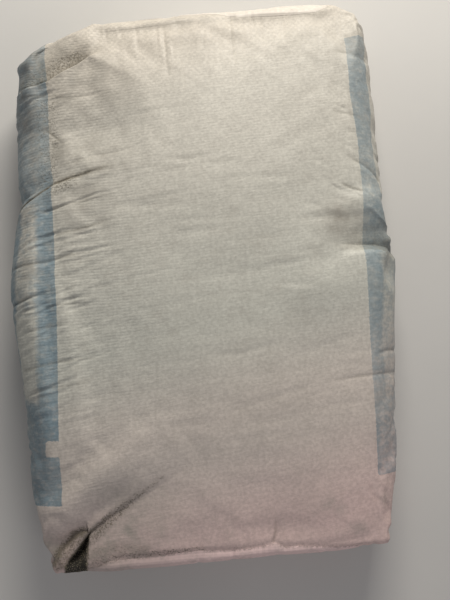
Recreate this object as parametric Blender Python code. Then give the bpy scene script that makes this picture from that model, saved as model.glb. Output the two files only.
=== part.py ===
"""A filled cement sack of woven plastic tape, lying on its back as it rests on a level floor.

X runs across the sack, +Y towards its top end and +Z up through its printed face. The origin is
on the floor, under the middle of the sack.
"""

import math

import bmesh
import bpy
from mathutils import Vector

# Driving sizes of the sack, in metres
SACK_LENGTH = 0.556
BELLY_WIDTH = 0.391
EDGE_THICKNESS = 0.094
# How much higher the middle of the face is than its edges
CROWN = 0.014
# How far the rounding reaches in from the side at the belly, from the side at the square corners,
# from the ends, down from the face and up from the floor
SIDE_ROUND = 0.032
CORNER_ROUND = 0.011
END_ROUND = 0.015
UPPER_ROUND = 0.044
LOWER_ROUND = 0.034
# How much further along the sack its right side lies than its left
END_SKEW = 0.010
# How far the two pushed-in top corners are cut back, across and along
TOP_LEFT_CUT = (0.090, 0.042)
TOP_RIGHT_CUT = (0.036, 0.028)

# The strips over the two ends, in metres
PATCH_THICKNESS = 0.0006
PATCH_GAP = 0.0003
PATCH_FLOOR_CLEARANCE = 0.012
PATCH_SIDE_MARGIN = 0.010

# Half width along each side as a share of the belly's, against the share of the length from the bottom
LEFT_PROFILE = ((0.0, 0.86), (0.06, 0.885), (0.14, 0.925), (0.34, 0.957), (0.50, 1.0),
                (0.60, 0.97), (0.69, 0.942), (0.86, 0.942), (1.0, 0.905))
RIGHT_PROFILE = ((0.0, 0.86), (0.06, 0.88), (0.14, 0.925), (0.38, 0.965), (0.54, 0.995),
                 (0.63, 0.963), (0.74, 0.953), (0.86, 0.948), (1.0, 0.935))
# Thickness along the sack, as a share of the middle's
THICKNESS_PROFILE = ((0.0, 0.86), (0.12, 0.94), (0.35, 1.0), (0.65, 1.0), (0.88, 0.95), (1.0, 0.88))

# The part of the half length over which the sides go from square at the ends to round
SQUARE_SHARE = 0.45
# The height, as a share of the thickness, from which the folds are pressed in at their full depth
FOLD_HEIGHT = 0.5
# How deep a fold stays where it runs down a side wall, as a share of its depth on the face
WALL_SHARE = 0.3
# Powers that shape the crown along the sack, and the banks of a fold
CROWN_POWER = 4
BANK_POWER = 1.5

# Mesh steps: across each rounded edge, and between the rounded edges
ROUND_STEPS = 3
ACROSS_STEPS = 24
ALONG_STEPS = 38
UP_STEPS = 2

# Folds pressed into the face: a path in shares of the half width and half length from the middle,
# the depth, and how wide the bank above the path and the bank below it are
CORNER_FOLD = {
    "path": ((-1.10, -0.95), (-0.84, -0.88), (-0.66, -0.79), (-0.50, -0.74), (-0.36, -0.60)),
    "depth": 0.012, "above": 0.040, "below": 0.014,
}
LEFT_FOLD = {
    "path": ((-1.20, 0.28), (-0.98, 0.33), (-0.80, 0.39), (-0.55, 0.43)),
    "depth": 0.007, "above": 0.022, "below": 0.020,
}
RIGHT_FOLD = {
    "path": ((1.20, 0.085), (0.90, 0.10), (0.72, 0.105)),
    "depth": 0.009, "above": 0.026, "below": 0.020,
}
TOP_CORNER_FOLD = {
    "path": ((-0.62, 0.80), (-0.50, 0.80), (-0.28, 0.72)),
    "depth": 0.006, "above": 0.026, "below": 0.022,
}
FOLDS = (CORNER_FOLD, LEFT_FOLD, RIGHT_FOLD, TOP_CORNER_FOLD)


def remove_everything():
    for obj in list(bpy.data.objects):
        bpy.data.objects.remove(obj, do_unlink=True)


def material(name, colour, roughness):
    made = bpy.data.materials.new(name)
    made.use_nodes = True
    shader = made.node_tree.nodes["Principled BSDF"]
    shader.inputs["Base Color"].default_value = (*colour, 1.0)
    shader.inputs["Roughness"].default_value = roughness
    shader.inputs["Metallic"].default_value = 0.0
    return made


def smooth(share):
    """0 to 1 with no corner at either end."""
    share = min(1.0, max(0.0, share))
    return share * share * (3.0 - 2.0 * share)


def along_profile(profile, share):
    """The value of a profile's smooth curve at a share of the length."""
    share = min(profile[-1][0], max(profile[0][0], share))
    slopes = []
    for i in range(len(profile)):
        before, after = profile[max(i - 1, 0)], profile[min(i + 1, len(profile) - 1)]
        slopes.append((after[1] - before[1]) / (after[0] - before[0]))
    for i in range(len(profile) - 1):
        start, end = profile[i], profile[i + 1]
        if share <= end[0]:
            break
    step = end[0] - start[0]
    t = (share - start[0]) / step
    return (
        (1 + 2 * t) * (1 - t) ** 2 * start[1]
        + t * (1 - t) ** 2 * step * slopes[i]
        + t * t * (3 - 2 * t) * end[1]
        + t * t * (t - 1) * step * slopes[i + 1]
    )


def side_round(b):
    """How far the rounded side reaches in from the edge: little at the square ends, more at the belly."""
    return CORNER_ROUND + (SIDE_ROUND - CORNER_ROUND) * smooth((1.0 - abs(b)) / SQUARE_SHARE)


def plan_point(a, b):
    """The place on the floor plan of a share of the half width and of the half length."""
    profile = LEFT_PROFILE if a < 0 else RIGHT_PROFILE
    x = a * BELLY_WIDTH / 2 * along_profile(profile, (b + 1) / 2)
    y = b * SACK_LENGTH / 2 + a * END_SKEW / 2
    cut, side = (TOP_LEFT_CUT, -1) if a < 0 else (TOP_RIGHT_CUT, 1)
    from_side = (1 - abs(a)) * BELLY_WIDTH / 2
    from_end = (1 - b) * SACK_LENGTH / 2
    pull = max(0.0, 1 - from_side / cut[0]) * max(0.0, 1 - from_end / cut[1])
    return Vector((x - side * pull * cut[0] / 2, y - pull * cut[1] / 2))


def fold_depth(place, fold):
    """How far a fold presses the face in at a place on the plan, deepest at the path's start."""
    points = [plan_point(*share) for share in fold["path"]]
    lengths = [(q - p).length for p, q in zip(points, points[1:])]
    nearest, before = None, 0.0
    for p, q, length in zip(points, points[1:], lengths):
        line = (q - p) / length
        at = min(length, max(0.0, (place - p).dot(line)))
        away = place - p - at * line
        if nearest is None or away.length < nearest[0].length:
            nearest = (away, (before + at) / sum(lengths))
        before += length
    away, along = nearest
    bank = fold["above"] if away.y > 0 else fold["below"]
    return fold["depth"] * (1 - smooth(along)) * (1 - smooth(away.length / bank)) ** BANK_POWER


def rounded(across, along, up):
    """A point of the plain rounded block, where three lines of its lattice meet, and its outward
    direction."""
    b = along.at(SACK_LENGTH / 2, END_ROUND) / (SACK_LENGTH / 2)
    rounds = (side_round(b), END_ROUND, UPPER_ROUND if up.step > 0 else LOWER_ROUND)
    halves = (BELLY_WIDTH / 2, SACK_LENGTH / 2, EDGE_THICKNESS / 2)
    box = Vector(line.at(half, r) for line, half, r in zip((across, along, up), halves, rounds))
    inner = Vector(min(half - r, max(r - half, p)) for p, half, r in zip(box, halves, rounds))
    out = Vector((p - i) / r for p, i, r in zip(box, inner, rounds)).normalized()
    return inner + Vector(o * r for o, r in zip(out, rounds)), out


class Line:
    """One line of the block's lattice: a step number, counted from the middle of the block."""

    def __init__(self, step, middle_steps):
        self.step = step
        self.flat_steps = middle_steps / 2

    def at(self, half, edge_round):
        """The line's distance from the middle of a block of that half size and edge rounding."""
        flat = half - edge_round
        if abs(self.step) <= self.flat_steps:
            return flat * self.step / self.flat_steps
        past = (abs(self.step) - self.flat_steps) / ROUND_STEPS * edge_round
        return math.copysign(flat + past, self.step)


def sack_point(across, along, up):
    """A point of the sack's surface: the block, laid out on the sack's own plan, crowned and folded."""
    block, out = rounded(across, along, up)
    a, b = block.x / (BELLY_WIDTH / 2), block.y / (SACK_LENGTH / 2)
    height = block.z / EDGE_THICKNESS + 0.5
    place = plan_point(a, b)
    thickness = EDGE_THICKNESS * along_profile(THICKNESS_PROFILE, (b + 1) / 2)
    crown = CROWN * (1 - a * a) * (1 - b ** CROWN_POWER)
    point = Vector((place.x, place.y, height * (thickness + crown)))
    pressed = sum(fold_depth(place, fold) for fold in FOLDS)
    pressed *= smooth(height / FOLD_HEIGHT) * (WALL_SHARE + (1 - WALL_SHARE) * max(0.0, out.z))
    return point - out * pressed


def lattice(middle_steps):
    half = middle_steps // 2 + ROUND_STEPS
    return [Line(step, middle_steps) for step in range(-half, half + 1)]


def block_faces(counts):
    """The four lattice keys of each square on the block's six sides, in outward order."""
    for axis in range(3):
        u, v = (axis + 1) % 3, (axis + 2) % 3
        for end in (0, counts[axis] - 1):
            for i in range(counts[u] - 1):
                for j in range(counts[v] - 1):
                    corners = [(i, j), (i + 1, j), (i + 1, j + 1), (i, j + 1)]
                    if end == 0:
                        corners.reverse()
                    keys = []
                    for cu, cv in corners:
                        key = [0, 0, 0]
                        key[axis], key[u], key[v] = end, cu, cv
                        keys.append(tuple(key))
                    yield keys


def finished(name, mesh_maker, made_material):
    mesh = bpy.data.meshes.new(name)
    mesh_maker.to_mesh(mesh)
    mesh_maker.free()
    mesh.shade_smooth()
    mesh.materials.append(made_material)
    obj = bpy.data.objects.new(name, mesh)
    bpy.context.scene.collection.objects.link(obj)
    return obj


def make_sack(fabric):
    """The sack, with its middle over the origin, and its surface by lattice key: points, outward
    normals and faces."""
    lines = (lattice(ACROSS_STEPS), lattice(ALONG_STEPS), lattice(UP_STEPS))
    faces = list(block_faces([len(group) for group in lines]))
    shape = bmesh.new()
    verts = {}
    for keys in faces:
        for key in keys:
            if key not in verts:
                meeting = (group[step] for group, step in zip(lines, key))
                verts[key] = shape.verts.new(sack_point(*meeting))
        shape.faces.new([verts[key] for key in keys])
    xs, ys = ([vert.co[axis] for vert in shape.verts] for axis in (0, 1))
    middle = Vector((min(xs) + max(xs), min(ys) + max(ys), 0)) / 2
    bmesh.ops.translate(shape, verts=shape.verts, vec=-middle)
    shape.normal_update()
    surface = {key: (vert.co.copy(), vert.normal.copy()) for key, vert in verts.items()}
    finished("sack", shape, fabric)
    return surface, faces


def make_patch(name, end, surface, faces, fabric):
    """The strip welded over one end: the end's own surface, a gap off the sack, from just above the
    floor to the line where the end is folded over to the face."""
    along_last = len(lattice(ALONG_STEPS)) - 1
    up_last = len(lattice(UP_STEPS)) - 1
    left_reach, right_reach = (
        BELLY_WIDTH / 2 * profile[end][1] - max(SIDE_ROUND, cut if end else 0) - PATCH_SIDE_MARGIN
        for profile, cut in ((LEFT_PROFILE, TOP_LEFT_CUT[0]), (RIGHT_PROFILE, TOP_RIGHT_CUT[0]))
    )
    shape = bmesh.new()
    verts = {}
    for keys in faces:
        steps = [key[1] if end == 0 else along_last - key[1] for key in keys]
        on_end = all(step == 0 for step in steps)
        on_fold = all(step <= ROUND_STEPS and key[2] == up_last for step, key in zip(steps, keys))
        low = min(surface[key][0].z for key in keys) < PATCH_FLOOR_CLEARANCE
        across = [surface[key][0].x for key in keys]
        wide = min(across) < -left_reach or max(across) > right_reach
        if not (on_end or on_fold) or low or wide:
            continue
        for key in keys:
            if key not in verts:
                point, normal = surface[key]
                verts[key] = shape.verts.new(point + normal * PATCH_GAP)
        shape.faces.new([verts[key] for key in keys])
    shape.normal_update()
    patch = finished(name, shape, fabric)
    thicken = patch.modifiers.new("Thickness", "SOLIDIFY")
    thicken.thickness = PATCH_THICKNESS
    thicken.offset = 1.0
    thicken.use_even_offset = True


def main():
    remove_everything()
    woven = material("woven_tape", (0.52, 0.49, 0.43), 0.72)
    coated = material("coated_patch", (0.58, 0.53, 0.49), 0.6)
    surface, faces = make_sack(woven)
    make_patch("bottom_patch", 0, surface, faces, coated)
    make_patch("top_patch", -1, surface, faces, coated)


main()
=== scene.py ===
"""The looks of a filled cement sack of woven plastic tape, lying on its back on a pale studio floor.

X runs across the sack, +Y towards its top end and +Z up through its printed face, in metres. Places
on the cloth are given as s, across the cloth from the middle line of the face, and t, along it.
"""

import math
from functools import partial, reduce

import bmesh
import bpy
import numpy as np
from bpy.props import FloatProperty, FloatVectorProperty, PointerProperty
from mathutils import Matrix, Vector
from mathutils.bvhtree import BVHTree
from mathutils.interpolate import poly_3d_calc


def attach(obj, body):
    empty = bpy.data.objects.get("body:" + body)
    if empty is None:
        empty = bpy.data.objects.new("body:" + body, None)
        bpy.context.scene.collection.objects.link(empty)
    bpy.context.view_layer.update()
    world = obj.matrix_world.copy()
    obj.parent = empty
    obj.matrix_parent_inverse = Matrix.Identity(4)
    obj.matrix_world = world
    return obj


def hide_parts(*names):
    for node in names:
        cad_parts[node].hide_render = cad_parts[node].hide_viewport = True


bl_info = {
    "name": "Cement Sack",
    "version": (1, 0, 0),
    "blender": (4, 5, 0),
    "location": "3D View > Sidebar > Cement Sack",
    "description": "A filled cement sack of woven plastic tape, with its folds, stripes and grime",
    "category": "Object",
}

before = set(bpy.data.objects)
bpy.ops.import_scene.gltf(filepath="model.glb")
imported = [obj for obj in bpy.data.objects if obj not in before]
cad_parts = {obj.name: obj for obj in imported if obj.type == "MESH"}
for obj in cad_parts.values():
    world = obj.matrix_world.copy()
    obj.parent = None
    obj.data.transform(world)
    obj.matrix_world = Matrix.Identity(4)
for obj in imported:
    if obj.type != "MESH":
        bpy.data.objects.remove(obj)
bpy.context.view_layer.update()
BODY = "root"

# Half width along each side as a share of the belly's, against the share of the length from the bottom
LEFT_PROFILE = ((0.0, 0.86), (0.06, 0.885), (0.14, 0.925), (0.34, 0.957), (0.50, 1.0),
                (0.60, 0.97), (0.69, 0.942), (0.86, 0.936), (1.0, 0.900))
RIGHT_PROFILE = ((0.0, 0.86), (0.06, 0.88), (0.14, 0.925), (0.38, 0.965), (0.54, 0.995),
                 (0.63, 0.963), (0.74, 0.953), (0.86, 0.948), (1.0, 0.935))
# Thickness along the sack, as a share of the middle's
THICKNESS_PROFILE = ((0.0, 0.86), (0.12, 0.94), (0.35, 1.0), (0.65, 1.0), (0.88, 0.95), (1.0, 0.88))

# How far the rounding reaches in from the side at the belly, from the side at the square corners,
# from the ends, down from the face and up from the floor
SIDE_ROUND = 0.032
CORNER_ROUND = 0.011
END_ROUND = 0.015
UPPER_ROUND = 0.044
LOWER_ROUND = 0.034
# How much fuller than round the upper edge of the bottom end is, as an addition to its power
FULL_EDGE = 4.0
# How much further along the sack its right side lies than its left
END_SKEW = 0.010
# How far the two pushed-in top corners are cut back, across and along
TOP_LEFT_CUT = (0.090, 0.042)
TOP_RIGHT_CUT = (0.036, 0.028)
# The part of the half length over which the sides go from square at the ends to round
SQUARE_SHARE = 0.45
# The height, as a share of the thickness, from which the folds are pressed in at their full depth
FOLD_HEIGHT = 0.5
# How deep a fold stays where it runs down a side wall, as a share of its depth on the face
WALL_SHARE = 0.3
# Powers that shape the crown along the sack, and the banks of a fold
CROWN_POWER = 4
BANK_POWER = 1.5

# Broad folds pressed into the face: a path in shares of the half width and half length from the
# middle, the depth, and how wide the bank above the path and the bank below it are
BROAD_FOLDS = (
    dict(path=((-1.1, -0.95), (-0.84, -0.88), (-0.66, -0.79), (-0.5, -0.74), (-0.36, -0.6)), depth=0.012,
         above=0.04, below=0.014),
    dict(path=((-1.2, 0.28), (-0.98, 0.33), (-0.8, 0.39), (-0.55, 0.43)), depth=0.007, above=0.022,
         below=0.02),
    dict(path=((1.2, 0.085), (0.9, 0.1), (0.72, 0.105)), depth=0.009, above=0.026, below=0.02),
    dict(path=((-0.62, 0.8), (-0.5, 0.8), (-0.28, 0.72)), depth=0.002, above=0.026, below=0.022),
)

# Lattice steps of the fabric before it is subdivided once: over the lower rounding, the flat and
# the upper rounding, across the sack, along it and up it
ACROSS_STEPS = (5, 64, 5)
ALONG_STEPS = (3, 120, 3)
UP_STEPS = (3, 3, 6)
# How many of those steps one face of the flat underside spans
UNDERSIDE_STEPS = 4
# The sides of the sack, in the order in which they give way to each other along their edges
UNDERSIDE, END, WALL, FACE = range(4)


def length_property(name, default, description):
    """A size in metres."""
    return FloatProperty(name=name, description=description, default=default, min=0.0,
                         subtype="DISTANCE", unit="LENGTH", precision=4)


def colour_property(name, default, description):
    """A colour, in linear light."""
    return FloatVectorProperty(name=name, description=description, default=default, size=3,
                               min=0.0, max=1.0, subtype="COLOR")


class SackSizes(bpy.types.PropertyGroup):
    """The sizes that a user would change on the sack."""

    sack_length: length_property("Length", 0.547, "Length of the filled sack")
    belly_width: length_property("Belly width", 0.386, "Width of the filled sack at its widest")
    edge_thickness: length_property("Edge thickness", 0.094, "Thickness at the sides of the face")
    crown: length_property("Crown", 0.014, "How much higher the middle of the face is")
    tape_width: length_property("Tape width", 0.0028, "Width of one woven tape")
    crumb_size: length_property("Crumb size", 0.0011, "Width of a crumb of caked cement")
    stripe_width: length_property("Stripe width", 0.078, "Width of each printed side stripe")
    slack: FloatProperty(name="Slack", description="Spare length of the cloth over the fill, as a share",
                         default=0.03, min=0.0, max=0.1, subtype="FACTOR")


class SackColours(bpy.types.PropertyGroup):
    """The colours that a user would change on the sack."""

    tape: colour_property("Tape", (0.62, 0.585, 0.52), "Unprinted woven tape")
    stripe: colour_property("Stripe", (0.195, 0.276, 0.326), "Printed side stripes")
    # Its dark shades also paint the shade in the folds and the shadow in the mouth of the dog-ear
    grime: colour_property("Grime", (0.095, 0.082, 0.06), "Dirt in the folds")
    patch: colour_property("Patch", (0.74, 0.70, 0.64), "Strips over the ends")


class StudioSettings(bpy.types.PropertyGroup):
    """The floor and the lights."""

    floor_size: length_property("Floor size", 6.0, "Side of the square floor")
    floor_colour: colour_property("Floor", (0.62, 0.61, 0.59), "Studio floor")
    key_power: FloatProperty(name="Key light", description="Power of the light beyond the top end",
                             default=11.2, min=0.0, unit="POWER")
    sky_strength: FloatProperty(name="Sky", description="Strength of the even light from all round",
                                default=0.20, min=0.0)


def smooth(share):
    """0 to 1 with no corner at either end."""
    share = np.clip(share, 0.0, 1.0)
    return share * share * (3.0 - 2.0 * share)


def along_profile(profile, share):
    """The value of a profile's smooth curve at shares of the length."""
    xs, ys = np.array(profile).T
    every = np.arange(len(xs))
    before, after = np.maximum(every - 1, 0), np.minimum(every + 1, len(xs) - 1)
    slopes = (ys[after] - ys[before]) / (xs[after] - xs[before])
    share = np.clip(share, xs[0], xs[-1])
    i = np.clip(np.searchsorted(xs, share) - 1, 0, len(xs) - 2)
    step = xs[i + 1] - xs[i]
    t = (share - xs[i]) / step
    return (
        (1 + 2 * t) * (1 - t) ** 2 * ys[i]
        + t * (1 - t) ** 2 * step * slopes[i]
        + t * t * (3 - 2 * t) * ys[i + 1]
        + t * t * (t - 1) * step * slopes[i + 1]
    )


def path_distance(places, path):
    """For each place: how far it is from a path, signed, positive on the left hand of the path's
    direction, and its share of the way along the path."""
    path = np.array(path, float)
    lengths = np.linalg.norm(np.diff(path, axis=0), axis=1)
    nearest = np.full(len(places), np.inf)
    signed, along = np.zeros(len(places)), np.zeros(len(places))
    before = 0.0
    for start, end, length in zip(path, path[1:], lengths):
        line = (end - start) / length
        offset = places - start
        at = np.clip(offset @ line, 0.0, length)
        away = offset - at[:, None] * line
        far = np.linalg.norm(away, axis=1)
        closer = far < nearest
        side = np.where(line[0] * offset[:, 1] - line[1] * offset[:, 0] >= 0, 1.0, -1.0)
        nearest[closer] = far[closer]
        signed[closer] = (far * side)[closer]
        along[closer] = ((before + at) / lengths.sum())[closer]
        before += length
    return signed, along


class SackShape:
    """The broad form of the filled sack: a rounded block, laid out on its own plan, crowned and folded."""

    def __init__(self, sizes):
        self.half_width = sizes.belly_width / 2
        self.half_length = sizes.sack_length / 2
        self.thickness = sizes.edge_thickness
        self.crown = sizes.crown

    def side_round(self, b):
        """How far the rounding reaches in from the side at a share of the half length."""
        return CORNER_ROUND + (SIDE_ROUND - CORNER_ROUND) * smooth((1.0 - abs(b)) / SQUARE_SHARE)

    def plan(self, a, b):
        """The places on the floor plan of shares of the half width and of the half length."""
        left = a < 0
        share = (b + 1) / 2
        side = np.where(left, along_profile(LEFT_PROFILE, share), along_profile(RIGHT_PROFILE, share))
        x = a * self.half_width * side
        y = b * self.half_length + a * END_SKEW / 2
        cut_across = np.where(left, TOP_LEFT_CUT[0], TOP_RIGHT_CUT[0])
        cut_along = np.where(left, TOP_LEFT_CUT[1], TOP_RIGHT_CUT[1])
        pull = np.maximum(0.0, 1 - (1 - abs(a)) * self.half_width / cut_across)
        pull = pull * np.maximum(0.0, 1 - (1 - b) * self.half_length / cut_along)
        return np.stack([x - np.where(left, -1, 1) * pull * cut_across / 2, y - pull * cut_along / 2], -1)

    def fold_depth(self, places, fold):
        """How far a broad fold presses the face in, deepest at the path's start."""
        shares = np.array(fold["path"])
        path = self.plan(shares[:, 0], shares[:, 1])
        signed, along = path_distance(places, path)
        above = signed > 0 if path[-1][0] > path[0][0] else signed < 0
        bank = np.where(above, fold["above"], fold["below"])
        return fold["depth"] * (1 - smooth(along)) * (1 - smooth(abs(signed) / bank)) ** BANK_POWER

    def points(self, across, along, up):
        """The surface at lattice places, each -1 to 1 over the flat and one more over a rounding."""
        flats = [np.clip(line, -1, 1) for line in (across, along, up)]
        overs = [line - flat for line, flat in zip((across, along, up), flats)]
        b = (flats[1] * (self.half_length - END_ROUND) + overs[1] * END_ROUND) / self.half_length
        rounds = (self.side_round(b), np.full_like(b, END_ROUND),
                  np.where(overs[2] + flats[2] > 0, UPPER_ROUND, LOWER_ROUND))
        halves = (self.half_width, self.half_length, self.thickness / 2)
        out = np.stack(overs, -1)
        power = 2 + FULL_EDGE * smooth(-overs[1]) * smooth(overs[2])
        full = out / (abs(out) ** power[:, None]).sum(axis=-1, keepdims=True) ** (1 / power[:, None])
        out = out / np.linalg.norm(out, axis=-1, keepdims=True)
        block = [flat * (half - r) + o * r for flat, half, r, o in zip(flats, halves, rounds, full.T)]
        a, b = block[0] / self.half_width, block[1] / self.half_length
        height = block[2] / self.thickness + 0.5
        places = self.plan(a, b)
        thickness = self.thickness * along_profile(THICKNESS_PROFILE, (b + 1) / 2)
        crown = self.crown * (1 - a * a) * (1 - b ** CROWN_POWER)
        pressed = sum(self.fold_depth(places, fold) for fold in BROAD_FOLDS)
        pressed = pressed * smooth(height / FOLD_HEIGHT)
        pressed = pressed * (WALL_SHARE + (1 - WALL_SHARE) * np.maximum(0.0, out[:, 2]))
        points = np.column_stack([places, height * (thickness + crown)]) - out * pressed[:, None]
        middle = (points.min(0) + points.max(0)) / 2
        points[:, :2] -= middle[:2]
        return points


def lattice_lines(low, flat, high):
    """The lattice places along one axis, for its steps over the low rounding, the flat and the high one."""
    return np.concatenate([np.linspace(-2, -1, low, endpoint=False),
                           np.linspace(-1, 1, flat, endpoint=False),
                           np.linspace(1, 2, high + 1)])


def run_along(points, axis, zero):
    """Distance along each lattice line of a grid of points, from its point number zero."""
    steps = np.linalg.norm(np.diff(points, axis=axis), axis=-1)
    total = np.concatenate([np.zeros_like(steps.take([0], axis)), np.cumsum(steps, axis)], axis)
    return total - total.take([zero], axis)


class Fabric:
    """The sack's fabric as a lattice: points, faces and the cloth coordinates of every face corner."""

    def __init__(self, shape):
        axes = [lattice_lines(*steps) for steps in (ACROSS_STEPS, ALONG_STEPS, UP_STEPS)]
        counts = [len(axis) for axis in axes]
        grid = np.indices(counts)
        last = np.array(counts).reshape(3, 1, 1, 1) - 1
        outside = ((grid == 0) | (grid == last)).any(axis=0)
        self.number = np.full(counts, -1)
        self.number[outside] = np.arange(outside.sum())
        self.points = shape.points(*(axis[grid[n][outside]] for n, axis in enumerate(axes)))
        self.faces, self.corners, self.sides = [], [], []
        self.weave_sides()
        self.drop_unused()

    def add(self, side, numbers, s, t, flip, keep=None):
        """Adds the squares of one side, whose lattice runs turn anticlockwise unless flipped."""
        rows, columns = numbers.shape
        i, j = (index.ravel() for index in np.indices((rows - 1, columns - 1)))
        if keep is not None:
            kept = keep(i, j)
            i, j = i[kept], j[kept]
        turn = ((0, 0), (1, 0), (1, 1), (0, 1))
        places = [(i + di, j + dj) for di, dj in (reversed(turn) if flip else turn)]
        self.faces += np.stack([numbers[place] for place in places], -1).tolist()
        uv = np.stack([np.stack([s[place], t[place]], -1) for place in places], 1)
        self.corners += uv.reshape(-1, 2).tolist()
        self.sides += [side] * len(i)

    def weave_sides(self):
        """Lays the cloth coordinates out from the middle of the face, over its edges and down the sides."""
        number, points = self.number, self.points
        middle_i, middle_j = number.shape[0] // 2, number.shape[1] // 2
        end_i, end_k = number.shape[0] - 1, number.shape[2] - 1
        face = number[:, :, -1]
        s_face, t_face = run_along(points[face], 0, middle_i), run_along(points[face], 1, middle_j)
        self.add(FACE, face, s_face, t_face, False)
        self.wall_s = {}
        for side, i, sign in (("left", 0, 1), ("right", end_i, -1)):
            wall = number[i]
            s = s_face[i][:, None] + sign * run_along(points[wall], 1, end_k)
            self.wall_s[side] = s
            self.add(WALL, wall, s, run_along(points[wall], 0, middle_j), side == "left")
        for j, sign in ((0, 1), (-1, -1)):
            end = number[:, j, :]
            t = t_face[:, j][:, None] + sign * run_along(points[end], 1, end_k)
            self.add(END, end, run_along(points[end], 0, middle_i), t, j == -1)
        self.weave_underside(middle_i, middle_j, end_i)

    def weave_underside(self, middle_i, middle_j, end_i):
        """The underside, whose flat has broad faces that meet the fine ones of the rounding at its rim."""
        under = self.number[:, :, 0]
        points = self.points[under]
        t = run_along(points, 1, middle_j)
        from_left = self.wall_s["left"][:, 0][None, :] - run_along(points, 0, 0)
        from_right = self.wall_s["right"][:, 0][None, :] - run_along(points, 0, end_i)
        low_i, high_i = ACROSS_STEPS[0], ACROSS_STEPS[0] + ACROSS_STEPS[1]
        low_j, high_j = ALONG_STEPS[0], ALONG_STEPS[0] + ALONG_STEPS[1]

        def rounding(i, j):
            return (i < low_i) | (i >= high_i) | (j < low_j) | (j >= high_j)

        self.add(UNDERSIDE, under, from_left, t, True, lambda i, j: rounding(i, j) & (i < middle_i))
        self.add(UNDERSIDE, under, from_right, t, True, lambda i, j: rounding(i, j) & (i >= middle_i))
        step = UNDERSIDE_STEPS
        for i in range(low_i, high_i, step):
            s = from_left if i < middle_i else from_right
            for j in range(low_j, high_j, step):
                on_rim = (j == low_j, i + step == high_i, j + step == high_j, i == low_i)
                ring, at_i, at_j = [], i, j
                for (di, dj), fine in zip(((1, 0), (0, 1), (-1, 0), (0, -1)), on_rim):
                    ring += [(at_i + di * n, at_j + dj * n) for n in range(0, step, 1 if fine else step)]
                    at_i, at_j = at_i + di * step, at_j + dj * step
                ring.reverse()
                self.faces.append([int(under[place]) for place in ring])
                self.corners += [(s[place], t[place]) for place in ring]
                self.sides.append(UNDERSIDE)

    def drop_unused(self):
        """Leaves out the lattice points that no face of the underside needs."""
        used = np.zeros(len(self.points), bool)
        for face in self.faces:
            used[face] = True
        renumbered = np.cumsum(used) - 1
        self.points = self.points[used]
        self.faces = [renumbered[face].tolist() for face in self.faces]
        self.number = np.where(self.number >= 0, renumbered[self.number], -1)

    def make_object(self, name):
        """An object of the fabric, with its cloth coordinates and the side that each face is on."""
        mesh = bpy.data.meshes.new(name)
        mesh.from_pydata(self.points.tolist(), [], self.faces)
        cloth = mesh.uv_layers.new(name="cloth")
        cloth.data.foreach_set("uv", np.array(self.corners, np.float32).ravel())
        mesh.attributes.new("side", "INT", "FACE").data.foreach_set("value", self.sides)
        mesh.update()
        return new_object(name, mesh)


def new_object(name, data):
    """A new object in the scene, at its origin."""
    obj = bpy.data.objects.new(name, data)
    bpy.context.scene.collection.objects.link(obj)
    return obj


def vertex_values(mesh, field):
    """Three numbers of every point of a mesh, one point a row."""
    flat = np.zeros(len(mesh.vertices) * 3, np.float32)
    mesh.vertices.foreach_get(field, flat)
    return flat.reshape(-1, 3).astype(float)


def move_points(mesh, points):
    """Moves the points of a mesh to new places."""
    mesh.vertices.foreach_set("co", points.astype(np.float32).ravel())
    mesh.update()


def plain_mesh(obj):
    """Turns what the modifiers show into the object's own mesh."""
    evaluated = obj.evaluated_get(bpy.context.evaluated_depsgraph_get())
    mesh = bpy.data.meshes.new_from_object(evaluated)
    obj.modifiers.clear()
    old, obj.data = obj.data, mesh
    name = old.name
    bpy.data.meshes.remove(old)
    mesh.name = name


# The photograph's frame, in pixels, and the camera that fits it
PICTURE = (450, 600)
CAMERA_AIM = Vector((0.021, -0.0225, 0.065))
CAMERA_DISTANCE = 0.78
CAMERA_ELEVATION = math.radians(85.0)
CAMERA_ROLL = math.radians(3.5)
PIXELS_PER_METRE = 996
SENSOR_MILLIMETRES = 36.0


class PhotoView:
    """The camera of the photograph, which turns places in its frame into rays."""

    def __init__(self):
        back = Vector((0.0, -math.cos(CAMERA_ELEVATION), math.sin(CAMERA_ELEVATION)))
        right = Vector((1.0, 0.0, 0.0))
        up = back.cross(right)
        self.back = back
        self.right = math.cos(CAMERA_ROLL) * right - math.sin(CAMERA_ROLL) * up
        self.up = math.sin(CAMERA_ROLL) * right + math.cos(CAMERA_ROLL) * up
        self.place = CAMERA_AIM + back * CAMERA_DISTANCE
        self.focal_pixels = PIXELS_PER_METRE * CAMERA_DISTANCE

    def ray(self, pixel):
        """The direction in which a place of the frame lies."""
        across = (pixel[0] - PICTURE[0] / 2) / self.focal_pixels
        down = (pixel[1] - PICTURE[1] / 2) / self.focal_pixels
        return self.right * across - self.up * down - self.back

    def matrix(self):
        """The place and the turn of the camera."""
        turn = Matrix((self.right, self.up, self.back)).transposed().to_4x4()
        return Matrix.Translation(self.place) @ turn


VIEW = PhotoView()
# The entries of a traced fold or stain that hold places in the photograph
TRACED_LINES = ("path", "upper", "lower", "outline")
# How many pixels a place off the sack may lie from it
OFF_THE_SACK = 40


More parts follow.
